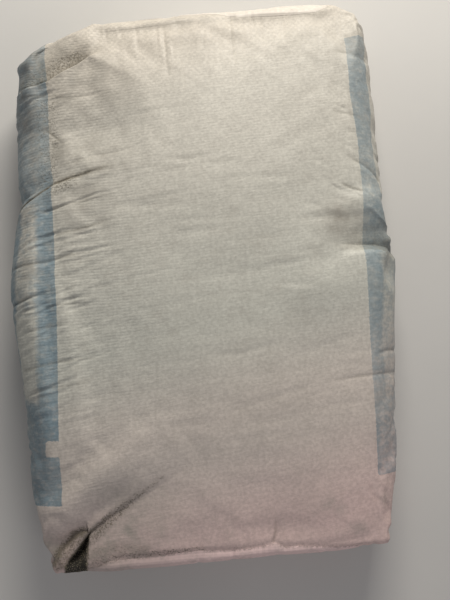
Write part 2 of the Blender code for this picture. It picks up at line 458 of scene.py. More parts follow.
class ClothMap:
    """Leads from the photograph's pixels to cloth coordinates, and from those to the surface."""

    def __init__(self, mesh):
        self.points = [vertex.co.copy() for vertex in mesh.vertices]
        self.normals = [vertex.normal.copy() for vertex in mesh.vertices]
        self.polygons = [tuple(polygon.vertices) for polygon in mesh.polygons]
        cloth = mesh.uv_layers["cloth"].data
        self.corners = [[cloth[loop].uv.to_3d() for loop in polygon.loop_indices]
                        for polygon in mesh.polygons]
        sides = mesh.attributes["side"].data
        self.tree = BVHTree.FromPolygons(self.points, self.polygons)
        flat_points, flat_polygons, self.flat_source = [], [], []
        for index, corners in enumerate(self.corners):
            if sides[index].value in (FACE, END):
                flat_polygons.append(range(len(flat_points), len(flat_points) + len(corners)))
                flat_points += corners
                self.flat_source.append(index)
        self.flat_tree = BVHTree.FromPolygons(flat_points, flat_polygons)

    def cloth(self, pixel):
        """The cloth coordinates under a place in the photograph, or under the nearest place to it on
        the way to the picture's middle that lies on the sack."""
        place = np.array(pixel, float)
        middle = np.array(PICTURE) / 2
        for _ in range(OFF_THE_SACK):
            hit, _, index, _ = self.tree.ray_cast(VIEW.place, VIEW.ray(place))
            if hit is not None:
                break
            place += (middle - place) / np.linalg.norm(middle - place)
        weights = poly_3d_calc([self.points[i] for i in self.polygons[index]], hit)
        found = sum((w * corner for w, corner in zip(weights, self.corners[index])), Vector((0, 0, 0)))
        return np.array(found.xy)

    def path(self, pixels, past=(0.0, 0.0)):
        """A traced path on the cloth, carried straight on past its two ends."""
        places = np.array([self.cloth(pixel) for pixel in pixels])
        ends = []
        for end, inner, more in ((places[0], places[1], past[0]), (places[-1], places[-2], past[1])):
            if more:
                ends.append([end + (end - inner) / np.linalg.norm(end - inner) * more])
            else:
                ends.append(np.empty((0, 2)))
        return np.concatenate([ends[0], places, ends[1]])

    def laid(self, traced):
        """A traced entry of a table, with its lines taken to the cloth."""
        past = traced.get("past", (0.0, 0.0))
        return {key: self.path(value, past) if key in TRACED_LINES else value
                for key, value in traced.items() if key != "past"}

    def surface(self, s, t):
        """The point of the face or of an end at cloth coordinates, and its outward normal."""
        near, _, index, _ = self.flat_tree.find_nearest(Vector((s, t, 0.0)))
        source = self.flat_source[index]
        weights = poly_3d_calc(self.corners[source], near)
        polygon = self.polygons[source]
        point = sum((w * self.points[i] for w, i in zip(weights, polygon)), Vector((0, 0, 0)))
        normal = sum((w * self.normals[i] for w, i in zip(weights, polygon)), Vector((0, 0, 0)))
        return point, normal.normalized()


# How many cells the noise has before it repeats
NOISE_CELLS = 97


def smooth_noise(x, y, seed):
    """Smooth noise from -1 to 1 with cells one unit wide."""
    cells = NOISE_CELLS
    table = np.random.RandomState(seed).uniform(-1, 1, (cells, cells))
    i, j = np.floor(x).astype(int), np.floor(y).astype(int)
    u, v = smooth(x - i), smooth(y - j)
    corner = [[table[(i + di) % cells, (j + dj) % cells] for dj in (0, 1)] for di in (0, 1)]
    low = corner[0][0] * (1 - u) + corner[1][0] * u
    high = corner[0][1] * (1 - u) + corner[1][1] * u
    return low * (1 - v) + high * v


def window(values, low, high, edge):
    """1 between two limits, falling smoothly to 0 over the edge width outside them."""
    return smooth((values - low) / edge + 1) * smooth((high - values) / edge + 1)


# How the cloth is let settle: its hold on the fill (a share whose fourth power counts), the frames it
# takes, and the farthest that a point may move
CLOTH_HOLD = 0.10
CLOTH_FRAMES = 20
CLOTH_REACH = 0.0028
# Its weight, how stiff it is, what holds it and the pressure of the fill
CLOTH_SETTINGS = dict(quality=6, mass=0.15, tension_stiffness=40, compression_stiffness=40,
                      shear_stiffness=10, bending_stiffness=0.05, pin_stiffness=1.0,
                      vertex_group_mass="held", use_pressure=True, uniform_pressure_force=1.0)
# The height up to which the floor holds the cloth still
FLOOR_HOLD = 0.012
# What stands for zero where something is divided by it
TINY = 1e-9


def settle_cloth(obj, sizes):
    """Lets the cloth, cut a little larger than the fill, find its own small folds over it."""
    rest = vertex_values(obj.data, "co")
    held = obj.vertex_groups.new(name="held")
    low = np.flatnonzero(rest[:, 2] < FLOOR_HOLD)
    held.add(list(range(len(rest))), CLOTH_HOLD, "REPLACE")
    held.add(low.tolist(), 1.0, "REPLACE")
    cloth = obj.modifiers.new("Cloth", "CLOTH")
    for name, value in CLOTH_SETTINGS.items():
        setattr(cloth.settings, name, value)
    cloth.settings.shrink_min = -sizes.slack
    cloth.settings.effector_weights.gravity = 0.0
    cloth.collision_settings.use_collision = False
    cloth.point_cache.frame_end = CLOTH_FRAMES
    for step in range(1, CLOTH_FRAMES + 1):
        bpy.context.scene.frame_set(step)
    plain_mesh(obj)
    bpy.context.scene.frame_set(1)
    obj.vertex_groups.clear()
    moved = vertex_values(obj.data, "co") - rest
    far = np.maximum(np.linalg.norm(moved, axis=1), TINY)
    moved *= (cloth_slackness(rest) * np.minimum(1.0, CLOTH_REACH / far))[:, None]
    move_points(obj.data, rest + moved)


# Where the fill holds the middle of the face tight: its limits and edge width across and along, the
# height from which and over which it begins, and the share of the cloth's own folds that it takes away
TIGHT_ACROSS = (-0.075, 0.125, 0.075)
TIGHT_ALONG = (-0.215, 0.185, 0.06)
TIGHT_FROM, TIGHT_OVER = 0.075, 0.015
TIGHT_SHARE = 0.80


def cloth_slackness(points):
    """How much of the cloth's own folds stays at each point: most along the edges and the left of
    the face, little where the fill holds the middle of the face tight."""
    x, y, z = points.T
    tight = window(x, *TIGHT_ACROSS) * window(y, *TIGHT_ALONG) * smooth((z - TIGHT_FROM) / TIGHT_OVER)
    return 1.0 - TIGHT_SHARE * tight


# How far around the traced creases the fabric is cut finer
FINE_REACH = 0.007
# How many bank widths away a crease is still felt
REACH = 5
# The height above the floor at which folds begin, and the height over which they reach their depth
FREE_FROM, FREE_OVER = 0.003, 0.02
# The least upward turn that the surface is taken to have where its two directions are worked out
LEAST_TURN = 0.2
# The soft starts of a pit and of a stain, as shares of their edge widths inside the outline
PIT_START, STAIN_START = 0.3, 0.5
# The welt beside a fine wrinkle, as a share of its depth, how many widths away it lies, and the power
# that keeps the wrinkle deep towards its ends
WELT_SHARE, WELT_PLACE, WRINKLE_POWER = 0.45, 1.7, 0.7
# How many places a fine wrinkle waves through, and how far it may turn, in degrees
WAVE_PLACES = 7
WRINKLE_TURN = 6
# How far it may bow and wave sideways, and how long, deep and wide it may be, all as shares
WRINKLE_BOW, WRINKLE_WAVE = 0.05, 0.02
WRINKLE_LENGTHS, WRINKLE_DEPTHS, WRINKLE_BANKS = (0.5, 1.3), (0.4, 1.2), (0.8, 1.3)
# The layers of wear, painted shade and print that the skin leaves on the mesh for the finish
LAYERS = ("grime", "crust", "worn", "stain", "left_print", "right_print")


class Skin:
    """The fine mesh of the fabric while folds are pressed into it and its wear and painted shade are laid
    on.
    """

    def __init__(self, obj):
        mesh = obj.data
        self.mesh = mesh
        self.points = vertex_values(mesh, "co")
        self.normals = vertex_values(mesh, "normal")
        self.cloth = self.vertex_cloth()
        self.s, self.t = self.cloth.T
        self.free = smooth((self.points[:, 2] - FREE_FROM) / FREE_OVER)
        turn = self.normals + np.array([0.0, 0.0, 1.0])
        turn /= np.maximum(turn[:, 2], LEAST_TURN)[:, None]
        self.across = np.array([1.0, 0.0, 0.0]) - self.normals[:, :1] * turn
        self.along = np.array([0.0, 1.0, 0.0]) - self.normals[:, 1:2] * turn
        self.grime, self.crust, self.worn, self.stain = np.zeros((4, len(self.points)))

    def vertex_cloth(self):
        """The cloth coordinates of every point, from the side that comes last in the order of the sides."""
        mesh = self.mesh
        corner_uv = np.zeros(len(mesh.loops) * 2, np.float32)
        mesh.uv_layers["cloth"].data.foreach_get("uv", corner_uv)
        corner_uv = corner_uv.reshape(-1, 2)
        corner_vertex = np.zeros(len(mesh.loops), int)
        mesh.loops.foreach_get("vertex_index", corner_vertex)
        sides = np.zeros(len(mesh.polygons), int)
        mesh.attributes["side"].data.foreach_get("value", sides)
        sizes = np.zeros(len(mesh.polygons), int)
        mesh.polygons.foreach_get("loop_total", sizes)
        corner_side = np.repeat(sides, sizes)
        cloth = np.zeros((len(mesh.vertices), 2))
        for side in (UNDERSIDE, END, WALL, FACE):
            chosen = corner_side == side
            cloth[corner_vertex[chosen]] = corner_uv[chosen]
        return cloth

    def near(self, path, reach):
        """The points whose cloth lies around a path, and their signed distance from it and share of
        the way along it."""
        path = np.array(path, float)
        low, high = path.min(0) - reach, path.max(0) + reach
        chosen = np.flatnonzero(((self.cloth > low) & (self.cloth < high)).all(axis=1))
        return chosen, *path_distance(self.cloth[chosen], path)

    def raise_by(self, height, chosen=slice(None)):
        """Raises points along their normals."""
        self.points[chosen] += self.normals[chosen] * (height * self.free[chosen])[:, None]

    def shift(self, across, along, chosen):
        """Moves points over the surface, across the sack and along it."""
        free = self.free[chosen]
        self.points[chosen] += self.across[chosen] * (across * free)[:, None]
        self.points[chosen] += self.along[chosen] * (along * free)[:, None]

    def soil(self, layer, chosen, amount):
        """Brings a layer of dirt, painted shade or wear up to an amount."""
        layer[chosen] = np.maximum(layer[chosen], amount)

    def crease(self, path, depth, above=0.004, below=0.003, roll=0.2, lap=0.0, grime=0.0, crust=0.0,
               wide=0.0014, lean=0.3, taper=(0.12, 0.3)):
        """A sharp crease along a path of the cloth that runs from left to right: its depth at the
        start and at the end, how wide the banks on its upper and lower side are, how much of the
        depth the cloth rolls up above it and laps over it, its smooth dirt, which also paints the shade
        in the crease, and its caked dirt, how wide those lie and how many widths above the crease,
        and the shares over which the ends fade."""
        chosen, signed, along = self.near(path, REACH * max(above, below))
        away = abs(signed)
        fade = depth[0] + (depth[1] - depth[0]) * along
        fade *= smooth(along / max(taper[0], TINY)) * smooth((1 - along) / max(taper[1], TINY))
        upper = signed > 0
        bank = np.where(upper, above, below)
        valley = np.exp(-away / bank)
        swell = np.where(upper, away / above * np.exp(1 - away / above), 0.0)
        self.raise_by(fade * (roll * swell - valley), chosen)
        if lap:
            way = np.array(path[-1]) - np.array(path[0])
            way = way / np.linalg.norm(way)
            push = lap * fade * swell
            self.shift(push * way[1], -push * way[0], chosen)
        strength = np.sqrt(fade / max(depth))
        spread = strength * np.exp(-((signed - wide * lean) / wide) ** 2)
        self.soil(self.grime, chosen, grime * spread)
        self.soil(self.crust, chosen, crust * spread)

    def ridge(self, path, height, above, below, power=1):
        """A raised line along a path: its height at the start and at the end, how wide its banks on
        the upper and the lower side are, and 2 as the power where its top is round."""
        chosen, signed, along = self.near(path, REACH * max(above, below))
        bank = np.where(signed > 0, above, below)
        lift = height[0] + (height[1] - height[0]) * along
        self.raise_by(lift * np.exp(-(abs(signed) / bank) ** power), chosen)

    def slope(self, upper, lower, lift, depth, beyond, edge, steepening=1.5, grime=0.0, crust=0.0,
              taper=(0.25, 0.25)):
        """Slopes the cloth down, ever steeper, from one line to a second below it, both from left to
        right. It is lifted at the first line, fading beyond it, and sunk at the second, below which it
        comes back within the edge width, given at the start and at the end. Its ends fade over the
        taper shares of its length."""
        chosen = self.near(np.concatenate([upper, lower]), max(beyond, *edge))[0]
        cloth = self.cloth[chosen]
        signed, past = path_distance(cloth, upper)[0], -path_distance(cloth, lower)[0]
        start, end = (upper[0] + lower[0]) / 2, (upper[-1] + lower[-1]) / 2
        along = np.clip((cloth - start) @ (end - start) / ((end - start) @ (end - start)), 0, 1)
        way, rest = np.clip(-signed, 0, None), np.clip(-past, 0, None)
        share = np.where(past > 0, 1.0, way / np.maximum(way + rest, TINY)) ** steepening
        back = 1 - smooth(past / (edge[0] + (edge[1] - edge[0]) * along))
        ends = smooth(along / taper[0]) * smooth((1 - along) / taper[1])
        rise = lift * (1 - share) * (1 - smooth(signed / beyond)) - depth * share * back
        self.points[chosen, 2] += rise * ends * self.free[chosen]
        spread = share * ends * (past < edge[0] / 2)
        self.soil(self.grime, chosen, grime * spread)
        self.soil(self.crust, chosen, crust * spread)

    def pull(self, middle, reach, across, along):
        """Pulls the cloth around a place sideways."""
        away = np.linalg.norm(self.cloth - middle, axis=1)
        share = (1 - smooth(away / reach)) * self.free
        self.points[:, 0] += across * share
        self.points[:, 1] += along * share

    def hollow(self, outline, depth, edge):
        """A pit with steep sides inside a closed outline."""
        self.raise_by(-depth * smooth(inside_depth(self.cloth, outline) / edge + PIT_START))

    def wrinkle(self, path, depth, bank):
        """A fine wrinkle that fades at both ends, with a low welt along its upper side."""
        chosen, signed, along = self.near(path, REACH * bank)
        fade = depth * np.sin(np.pi * along) ** WRINKLE_POWER
        welt = WELT_SHARE * np.exp(-((signed - WELT_PLACE * bank) / bank) ** 2)
        self.raise_by(fade * (welt - np.exp(-(signed / bank) ** 2)), chosen)

    def wrinkles(self, area, count, turn, length, depth, bank, seed):
        """Scattered fine wrinkles. The area is the lowest and highest s and t of their middles, the
        turn their direction in degrees; each runs its own way and waves a little."""
        chance = np.random.RandomState(seed)
        for _ in range(count):
            middle = np.array([chance.uniform(*area[0]), chance.uniform(*area[1])])
            angle = math.radians(turn + chance.uniform(-WRINKLE_TURN, WRINKLE_TURN))
            way = np.array([math.cos(angle), math.sin(angle)])
            side = np.array([-way[1], way[0]])
            size = length * chance.uniform(*WRINKLE_LENGTHS)
            bow = size * chance.uniform(-WRINKLE_BOW, WRINKLE_BOW)
            waves = chance.uniform(-WRINKLE_WAVE, WRINKLE_WAVE, WAVE_PLACES) * size
            at = np.linspace(-0.5, 0.5, WAVE_PLACES)
            sideways = bow * (1 - 4 * at * at) + waves
            path = middle + way * (at * size)[:, None] + side * sideways[:, None]
            self.wrinkle(path, depth * chance.uniform(*WRINKLE_DEPTHS),
                         bank * chance.uniform(*WRINKLE_BANKS))

    def swell(self, cell, height, mask, seed):
        """Raises and sinks the cloth in soft waves, given by the size of their cells."""
        field = smooth_noise(self.s / cell[0], self.t / cell[1], seed)
        self.raise_by(height * mask * field)

    def inside(self, outline, edge):
        """1 well inside a closed outline, falling softly to 0 over the edge width."""
        return smooth(inside_depth(self.cloth, outline) / edge + STAIN_START)

    def scuff(self, outline, strength, edge):
        """Wears the print inside a closed outline."""
        self.soil(self.worn, slice(None), strength * self.inside(outline, edge))

    def cake(self, outline, grime, edge, crust=0.0):
        """Lays smooth dirt, which in places is painted shade, and caked dirt inside a closed outline."""
        inside = self.inside(outline, edge)
        self.soil(self.grime, slice(None), grime * inside)
        self.soil(self.crust, slice(None), crust * inside)

    def darken_softly(self, middle, reach, amount):
        """A broad soft darkening around a place of the cloth, a stain at some places and painted shade at
        others.
        """
        away = np.linalg.norm(self.cloth - middle, axis=1)
        self.soil(self.stain, slice(None), amount * np.exp(-(away / reach) ** 2))

    def write(self):
        """Gives the mesh its new points, and the layers that the finish reads."""
        move_points(self.mesh, self.points)
        for name in LAYERS:
            layer = self.mesh.attributes.new(name, "FLOAT", "POINT")
            layer.data.foreach_set("value", getattr(self, name).astype(np.float32))


def inside_depth(places, outline):
    """How deep each place lies inside a closed outline, negative outside it."""
    outline = np.array(outline, float)
    nearest = np.full(len(places), np.inf)
    inside = np.zeros(len(places), bool)
    for start, end in zip(outline, np.roll(outline, -1, axis=0)):
        line = end - start
        offset = places - start
        at = np.clip(offset @ line / (line @ line), 0, 1)
        nearest = np.minimum(nearest, np.linalg.norm(offset - at[:, None] * line, axis=1))
        crosses = (start[1] > places[:, 1]) != (end[1] > places[:, 1])
        rise = line[1] or TINY
        meets = start[0] + (places[:, 1] - start[1]) / rise * line[0]
        inside ^= crosses & (places[:, 0] < meets)
    return np.where(inside, nearest, -nearest)


# Places traced in the photograph, in the pixels of its frame. Paths run from left to right, and past
# says how far a path is carried on beyond its two ends
CREASES = (
    # The folds of the left side, from the deepest down
    dict(path=((17, 209), (30, 198), (52, 184), (76, 176), (99, 169), (116, 165)), past=(0.03, 0.0),
         depth=(0.003, 0.0014), above=0.005, below=0.0022, lap=0.4, grime=1.05, wide=0.0027,
         taper=(0.25, 0.22)),
    dict(path=((38, 213), (53, 209), (89, 200), (118, 192)), depth=(0.0009, 0.0006), below=0.0018,
         roll=0.35, grime=0.22, wide=0.0012),
    dict(path=((34, 243), (58, 235), (88, 227), (116, 217)), depth=(0.0006, 0.001), above=0.003,
         below=0.0016, roll=0.3, grime=0.4, taper=(0.5, 0.35)),
    dict(path=((16, 268), (34, 264), (54, 260), (66, 256), (102, 250)), past=(0.02, 0.0),
         depth=(0.002, 0.0004), below=0.0018, roll=0.3, grime=0.35),
    dict(path=((13, 306), (24, 300), (39, 295), (66, 290)), past=(0.03, 0.0), depth=(0.0036, 0.0006),
         above=0.005, below=0.0022, roll=0.3, lap=0.3, grime=0.55, wide=0.0015, taper=(0.35, 0.3)),
    dict(path=((20, 312), (54, 306), (90, 301)), depth=(0.001, 0.0005), below=0.0022, grime=0.22),
    dict(path=((22, 334), (50, 327), (84, 322)), depth=(0.0008, 0.0004), below=0.0024, grime=0.15),
    dict(path=((24, 372), (60, 362), (96, 358)), depth=(0.001, 0.0004), grime=0.3),
    dict(path=((30, 392), (56, 388), (92, 382)), depth=(0.0008, 0.0004), grime=0.22),
    # Above the left crease
    dict(path=((66, 164), (92, 155), (114, 151), (138, 147)), depth=(0.001, 0.0005), below=0.002, roll=0.3,
         grime=0.12),
    dict(path=((42, 126), (52, 134), (64, 143)), depth=(0.0016, 0.0008), above=0.003, below=0.002,
         grime=0.65, taper=(0.3, 0.4)),
    dict(path=((20, 100), (40, 97), (66, 96)), depth=(0.001, 0.0004), roll=0.1, grime=0.3, wide=0.002),
    dict(path=((58, 99), (80, 95), (112, 88)), depth=(0.0006, 0.0005), below=0.002, roll=0.3, grime=0.12),
    # The folds of the right side
    dict(path=((336, 243), (352, 244), (379, 244), (390, 247)), past=(0.0, 0.03), depth=(0.0006, 0.0016),
         above=0.003, below=0.002, roll=0.0, grime=0.7, wide=0.0016, taper=(0.3, 0.2)),
    dict(path=((330, 50), (346, 52), (356, 55), (368, 64)), depth=(0.0006, 0.001), below=0.0022, grime=0.3,
         taper=(0.3, 0.1)),
    dict(path=((332, 110), (348, 114), (362, 118)), depth=(0.0006, 0.0008), below=0.002, grime=0.22),
    dict(path=((341, 152), (357, 161), (369, 168), (382, 182)), depth=(0.0008, 0.0022), above=0.005,
         below=0.0024, roll=0.3, grime=0.35, taper=(0.3, 0.1)),
    dict(path=((340, 182), (352, 188), (366, 192)), depth=(0.001, 0.001), above=0.003, below=0.002,
         grime=0.5, wide=0.0016, taper=(0.3, 0.3)),
    dict(path=((322, 382), (346, 379), (371, 375), (392, 372)), past=(0.0, 0.02), depth=(0.0006, 0.0016),
         above=0.005, below=0.0024, roll=0.3, grime=0.25, taper=(0.3, 0.2)),
    dict(path=((374, 354), (388, 350), (394, 350)), past=(0.0, 0.02), depth=(0.0008, 0.002), above=0.003,
         below=0.0022, grime=0.25, taper=(0.3, 0.3)),
    # The corner fold at the bottom left: the dirty crease, and the crease outside the dog-ear
    dict(path=((86, 536), (98, 528), (110, 518), (122, 510), (134, 502), (148, 493), (166, 481)),
         depth=(0.003, 0.0006), roll=0.0, grime=0.36, crust=0.45, wide=0.0045, lean=0.4, taper=(0.0, 0.75)),
    dict(path=((52, 563), (57, 553), (64, 543), (74, 533), (86, 528)), past=(0.015, 0.0),
         depth=(0.0018, 0.0046), above=0.006, roll=0.1, lap=0.1, grime=0.7, crust=1.2, wide=0.0045,
         lean=-0.5, taper=(0.2, 0.0)),
    # The hem at the bottom, and the small fold that runs up from it
    dict(path=((84, 568), (112, 560), (150, 555), (199, 549), (230, 549), (262, 545), (275, 541),
         (285, 546), (299, 544), (330, 545), (359, 544), (388, 539)), depth=(0.0004, 0.0002), above=0.003,
         below=0.0018, roll=0.3, grime=0.05, crust=0.22, wide=0.0016, taper=(0.0, 0.1)),
    dict(path=((273, 543), (276, 532), (276, 515)), depth=(0.0012, 0.0005), above=0.003, below=0.002,
         roll=0.4, grime=0.4, taper=(0.0, 0.5)),
    # Long shallow folds that run down from the top end
    dict(path=((229, 12), (231, 40), (234, 74)), depth=(0.001, 0.0005), roll=0.4, taper=(0.2, 0.5)),
    dict(path=((164, 26), (166, 60), (171, 97)), depth=(0.001, 0.0004), roll=0.4, taper=(0.2, 0.5)),
)
RIDGES = (
    # The fold edge across the top left corner
    dict(path=((24, 93), (48, 83), (66, 71), (90, 57)), height=(0.001, 0.001), above=0.0016, below=0.008),
    # The cloth that stands up just below the right crease, and the rolled edge of the overhang
    dict(path=((322, 286), (345, 286), (366, 274), (388, 266)), height=(0.0034, 0.0026), above=0.021,
         below=0.03, power=2),
    dict(path=((370, 207), (379, 216), (387, 226), (391, 238)), height=(0.0012, 0.0014), above=0.002,
         below=0.002),
    # The cloth that lies full just inside the top end
    dict(path=((106, 31.5), (130, 30), (160, 26), (170, 25)), height=(0.0006, 0.0013), above=0.0042,
         below=0.0052, power=2),
    dict(path=((238, 18.5), (265, 18.5), (290, 16.5), (318, 14.5)), height=(0.0014, 0.0013), above=0.0044,
         below=0.0052, power=2),
)
SLOPES = (
    # The dirty facet across the top left corner, whose dirt also paints its shade, and the dull one below it
    dict(upper=((16, 66), (40, 46), (72, 33), (108, 38)), lower=((19, 94), (48, 80), (66, 68), (98, 49)),
         past=(0.03, 0.0), lift=0.004, depth=0.0075, beyond=0.014, edge=(0.003, 0.003), steepening=1.35,
         grime=0.55, crust=0.45, taper=(0.4, 0.25)),
    dict(upper=((20, 96), (48, 82), (66, 70), (88, 57), (108, 65), (132, 77), (172, 100)), lower=((19, 132),
         (60, 128), (100, 124), (134, 122), (168, 120)), past=(0.03, 0.0), lift=0.0022, depth=0.0085,
         beyond=0.014, edge=(0.05, 0.045), steepening=0.8, taper=(0.2, 0.45)),
    # The roll above the corner fold at the bottom left
    dict(upper=((34, 560), (70, 516), (102, 476), (142, 442), (190, 418)), lower=((46, 572), (62, 553),
         (84, 538), (98, 529), (110, 519), (122, 511), (134, 503), (150, 493), (176, 474), (212, 448)),
         lift=0.005, depth=0.0036, beyond=0.024, edge=(0.02, 0.06), steepening=1.5, taper=(0.25, 0.45)),
    # The overhang above the right crease, whose smooth dirt paints the shade under it
    dict(upper=((318, 228), (334, 210), (350, 202), (366, 198), (380, 198)), lower=((318, 243), (336, 243),
         (352, 243), (379, 243), (388, 246)), past=(0.0, 0.07), lift=0.0035, depth=0.01, beyond=0.016,
         edge=(0.013, 0.0034), steepening=1.25, grime=0.45, taper=(0.45, 0.45)),
)
# Places pulled sideways: the cloth's middle, the reach, and the move across and along
PULLS = (
    ((50, 574), 0.03, 0.008, -0.001), ((45, 549), 0.026, -0.0075, 0.0), ((389, 512), 0.03, 0.0015, 0.0),
    ((60, 42), 0.03, -0.0005, 0.0018), ((24, 66), 0.024, 0.0065, -0.004),
    ((48, 44), 0.018, -0.0012, 0.0024), ((88, 27), 0.02, -0.0003, 0.0014),
    ((354, 14), 0.018, 0.0012, 0.0016), ((386, 211), 0.022, -0.0062, 0.0), ((389, 237), 0.014, 0.0035, 0.0),
    ((391, 269), 0.026, -0.009, 0.0), ((18, 203), 0.024, -0.004, 0.0), ((384, 543), 0.018, 0.0, -0.0018),
    ((388, 527), 0.013, 0.0036, 0.0), ((104, 572), 0.03, 0.0, -0.0016),
)
# Broad stains, and broad painted shade where the cloth turns from the light, as on the top left
# corner, above the right crease, below the roll at the bottom left and on the left wall: the middle,
# the reach and the amount
STAINS_AND_SHADE = (
    ((72, 112), 0.05, 0.75), ((36, 62), 0.034, 1.2), ((62, 56), 0.022, 1.2), ((50, 160), 0.034, 0.8),
    ((70, 78), 0.02, 1.5), ((96, 76), 0.02, 1.1), ((104, 98), 0.026, 0.9), ((338, 218), 0.022, 1.5),
    ((68, 95), 0.018, 1.4), ((200, 46), 0.018, 0.4), ((60, 150), 0.02, 1.4), ((104, 552), 0.02, 1.2),
    ((135, 552), 0.022, 0.9), ((92, 150), 0.045, 1.0), ((84, 200), 0.04, 0.9), ((328, 60), 0.045, 0.6),
    ((125, 530), 0.018, 1.2), ((66, 178), 0.016, 0.8), ((30, 120), 0.04, 1.0), ((318, 180), 0.04, 0.35),
    ((345, 110), 0.045, 0.45), ((350, 60), 0.03, 0.35), ((45, 553), 0.016, 1.3), ((28, 268), 0.014, 1.0),
    ((118, 500), 0.02, 0.7), ((98, 541), 0.018, 1.1), ((300, 400), 0.06, 0.15), ((142, 515), 0.03, 0.8),
    ((95, 533), 0.012, 1.0), ((329, 504), 0.007, 0.7), ((358, 529), 0.007, 0.9), ((340, 511), 0.006, 0.7),
    ((180, 22), 0.012, 0.5), ((205, 20), 0.007, 0.6), ((150, 24), 0.008, 0.5), ((316, 250), 0.02, 0.4),
    ((120, 530), 0.022, 0.7), ((88, 556), 0.016, 1.0), ((386, 498), 0.006, 1.0), ((86, 190), 0.016, 0.35),
    ((70, 258), 0.012, 0.5), ((225, 320), 0.11, 0.28), ((245, 218), 0.08, 0.32), ((145, 215), 0.075, 0.3),
)
# Caked places, and places where the smooth dirt is painted shade: a closed outline, how much smooth
# and caked dirt lies there, and how softly it begins
CAKED = (
    dict(outline=((48, 562), (61, 544), (75, 531), (88, 527), (85, 537), (76, 551), (66, 567), (57, 571)),
         grime=0.5, crust=0.52, edge=0.004),
    dict(outline=((87, 530), (104, 515), (122, 502), (140, 492), (163, 477), (144, 494), (130, 508),
         (114, 524), (98, 541), (88, 552)), grime=0.26, crust=0.46, edge=0.009),
    dict(outline=((86, 533), (98, 523), (108, 514), (112, 513), (110, 519), (100, 527), (88, 538)),
         grime=0.5, crust=0.72, edge=0.004),
    dict(outline=((87, 548), (112, 543), (150, 545), (150, 556), (112, 562), (87, 570)), grime=0.22,
         crust=0.26, edge=0.008),
    dict(outline=((90, 562), (112, 555), (150, 550), (205, 546), (205, 550), (150, 557), (112, 562),
         (90, 569)), grime=0.1, crust=0.34, edge=0.003),
    dict(outline=((344, 34), (366, 34), (370, 54), (348, 54)), grime=0.22, edge=0.006),
    dict(outline=((36, 108), (56, 104), (62, 160), (50, 170), (36, 166)), grime=0.12, edge=0.016),
    dict(outline=((47, 76), (49, 63), (62, 55), (72, 49), (86, 51), (80, 59), (68, 67), (56, 76)),
         grime=0.2, crust=0.42, edge=0.006),
    dict(outline=((34, 96), (58, 98), (58, 200), (34, 196)), grime=0.02, crust=0.25, edge=0.01),
    # Painted shade on the top left corner, which turns from the light
    dict(outline=((18, 60), (44, 44), (46, 86), (18, 92)), grime=0.15, edge=0.01),
    # Painted shade in the crease across the left stripe
    dict(outline=((41, 233), (54, 230), (55, 246), (43, 249)), grime=0.2, edge=0.007),
    dict(outline=((50, 187), (60, 180), (76, 175), (78, 185), (62, 193), (50, 197)), grime=0.1, crust=0.36,
         edge=0.006),
)
# The lines of the corner folds, which are cut finer twice
CORNER_LINES = (
    ((48, 566), (56, 554), (64, 543), (74, 533), (86, 528)),
    ((86, 536), (98, 528), (110, 518), (122, 510), (134, 502), (148, 493)),
    ((24, 93), (48, 82), (66, 70), (88, 57)),
    ((344, 244), (379, 244), (394, 248)),
)
# The open mouth of the dog-ear fold, how deep it is and over what width its sides fall
MOUTH = ((88, 532), (87, 544), (84, 557), (79, 564), (68, 566), (74, 555), (82, 543))
MOUTH_DEPTH, MOUTH_EDGE = 0.016, 0.0045
# The painted shadow and dirt in the mouth: its outline, its smooth and its caked dirt, which there also
# paint the shadow, and how softly it begins
MOUTH_DIRT_AND_SHADE = ((89, 530), (88, 543), (84, 573), (54, 578), (65, 566), (74, 554), (82, 542))
MOUTH_GRIME_AND_SHADE, MOUTH_CRUST_AND_SHADE, MOUTH_SOFTNESS = 1.2, 1.9, 0.0030
# The places of that outline that lie out over the end, and how far down it they are carried
MOUTH_OPEN = (2, 3)
MOUTH_DROP = 0.02

# The inner edges of the printed stripes from the top down, the outer edge of the right one where it
# shows, and a patch of the left one that took no ink
LEFT_STRIPE = ((42, 40), (47, 86), (48.5, 150), (51.5, 200), (54.5, 260), (56, 300), (58, 398),
               (61.5, 480), (63, 506))
RIGHT_STRIPE = ((344, 37), (347, 57), (351, 100), (354.5, 120), (358, 143), (360.5, 166), (363, 190),
                (363.5, 243), (366, 264), (370, 330), (374, 400), (379, 475))
RIGHT_STRIPE_OUTER = ((364.5, 37), (365, 60), (367.5, 86), (370, 120), (374, 160), (381, 195))
BARE_NOTCH = ((46, 441), (66, 441), (66, 457), (46, 457))
# How far the left stripe runs on past the top of its edge, in metres
LEFT_STRIPE_PAST = 0.03
# Where the print is rubbed: a closed outline, how strongly, and how softly it begins
SCUFFS = (
    dict(outline=((8, 205), (34, 203), (37, 250), (36, 330), (38, 402), (8, 402)), strength=1.5,
         edge=0.008),
    dict(outline=((350, 150), (376, 150), (384, 200), (362, 204)), strength=0.5, edge=0.01),
    dict(outline=((16, 316), (36, 316), (38, 402), (20, 402)), strength=2.4, edge=0.012),
    dict(outline=((377, 404), (404, 404), (404, 474), (381, 474)), strength=0.8, edge=0.008),
    dict(outline=((26, 90), (38, 84), (40, 150), (36, 196), (24, 196), (26, 150)), strength=0.4,
         edge=0.012),
    dict(outline=((380, 250), (406, 250), (406, 402), (384, 402)), strength=1.2, edge=0.006),
    dict(outline=((368, 342), (402, 342), (402, 404), (372, 404)), strength=0.6, edge=0.008),
)

# Soft waves of the cloth over the face: the size of their cells across and along, their height and seed
SWELLS = (((0.055, 0.075), 0.0012, 3), ((0.023, 0.030), 0.0004, 5))
# How far from the middle line they reach, and over what width they fade
FACE_REACH, FACE_FADE = 0.21, 0.02
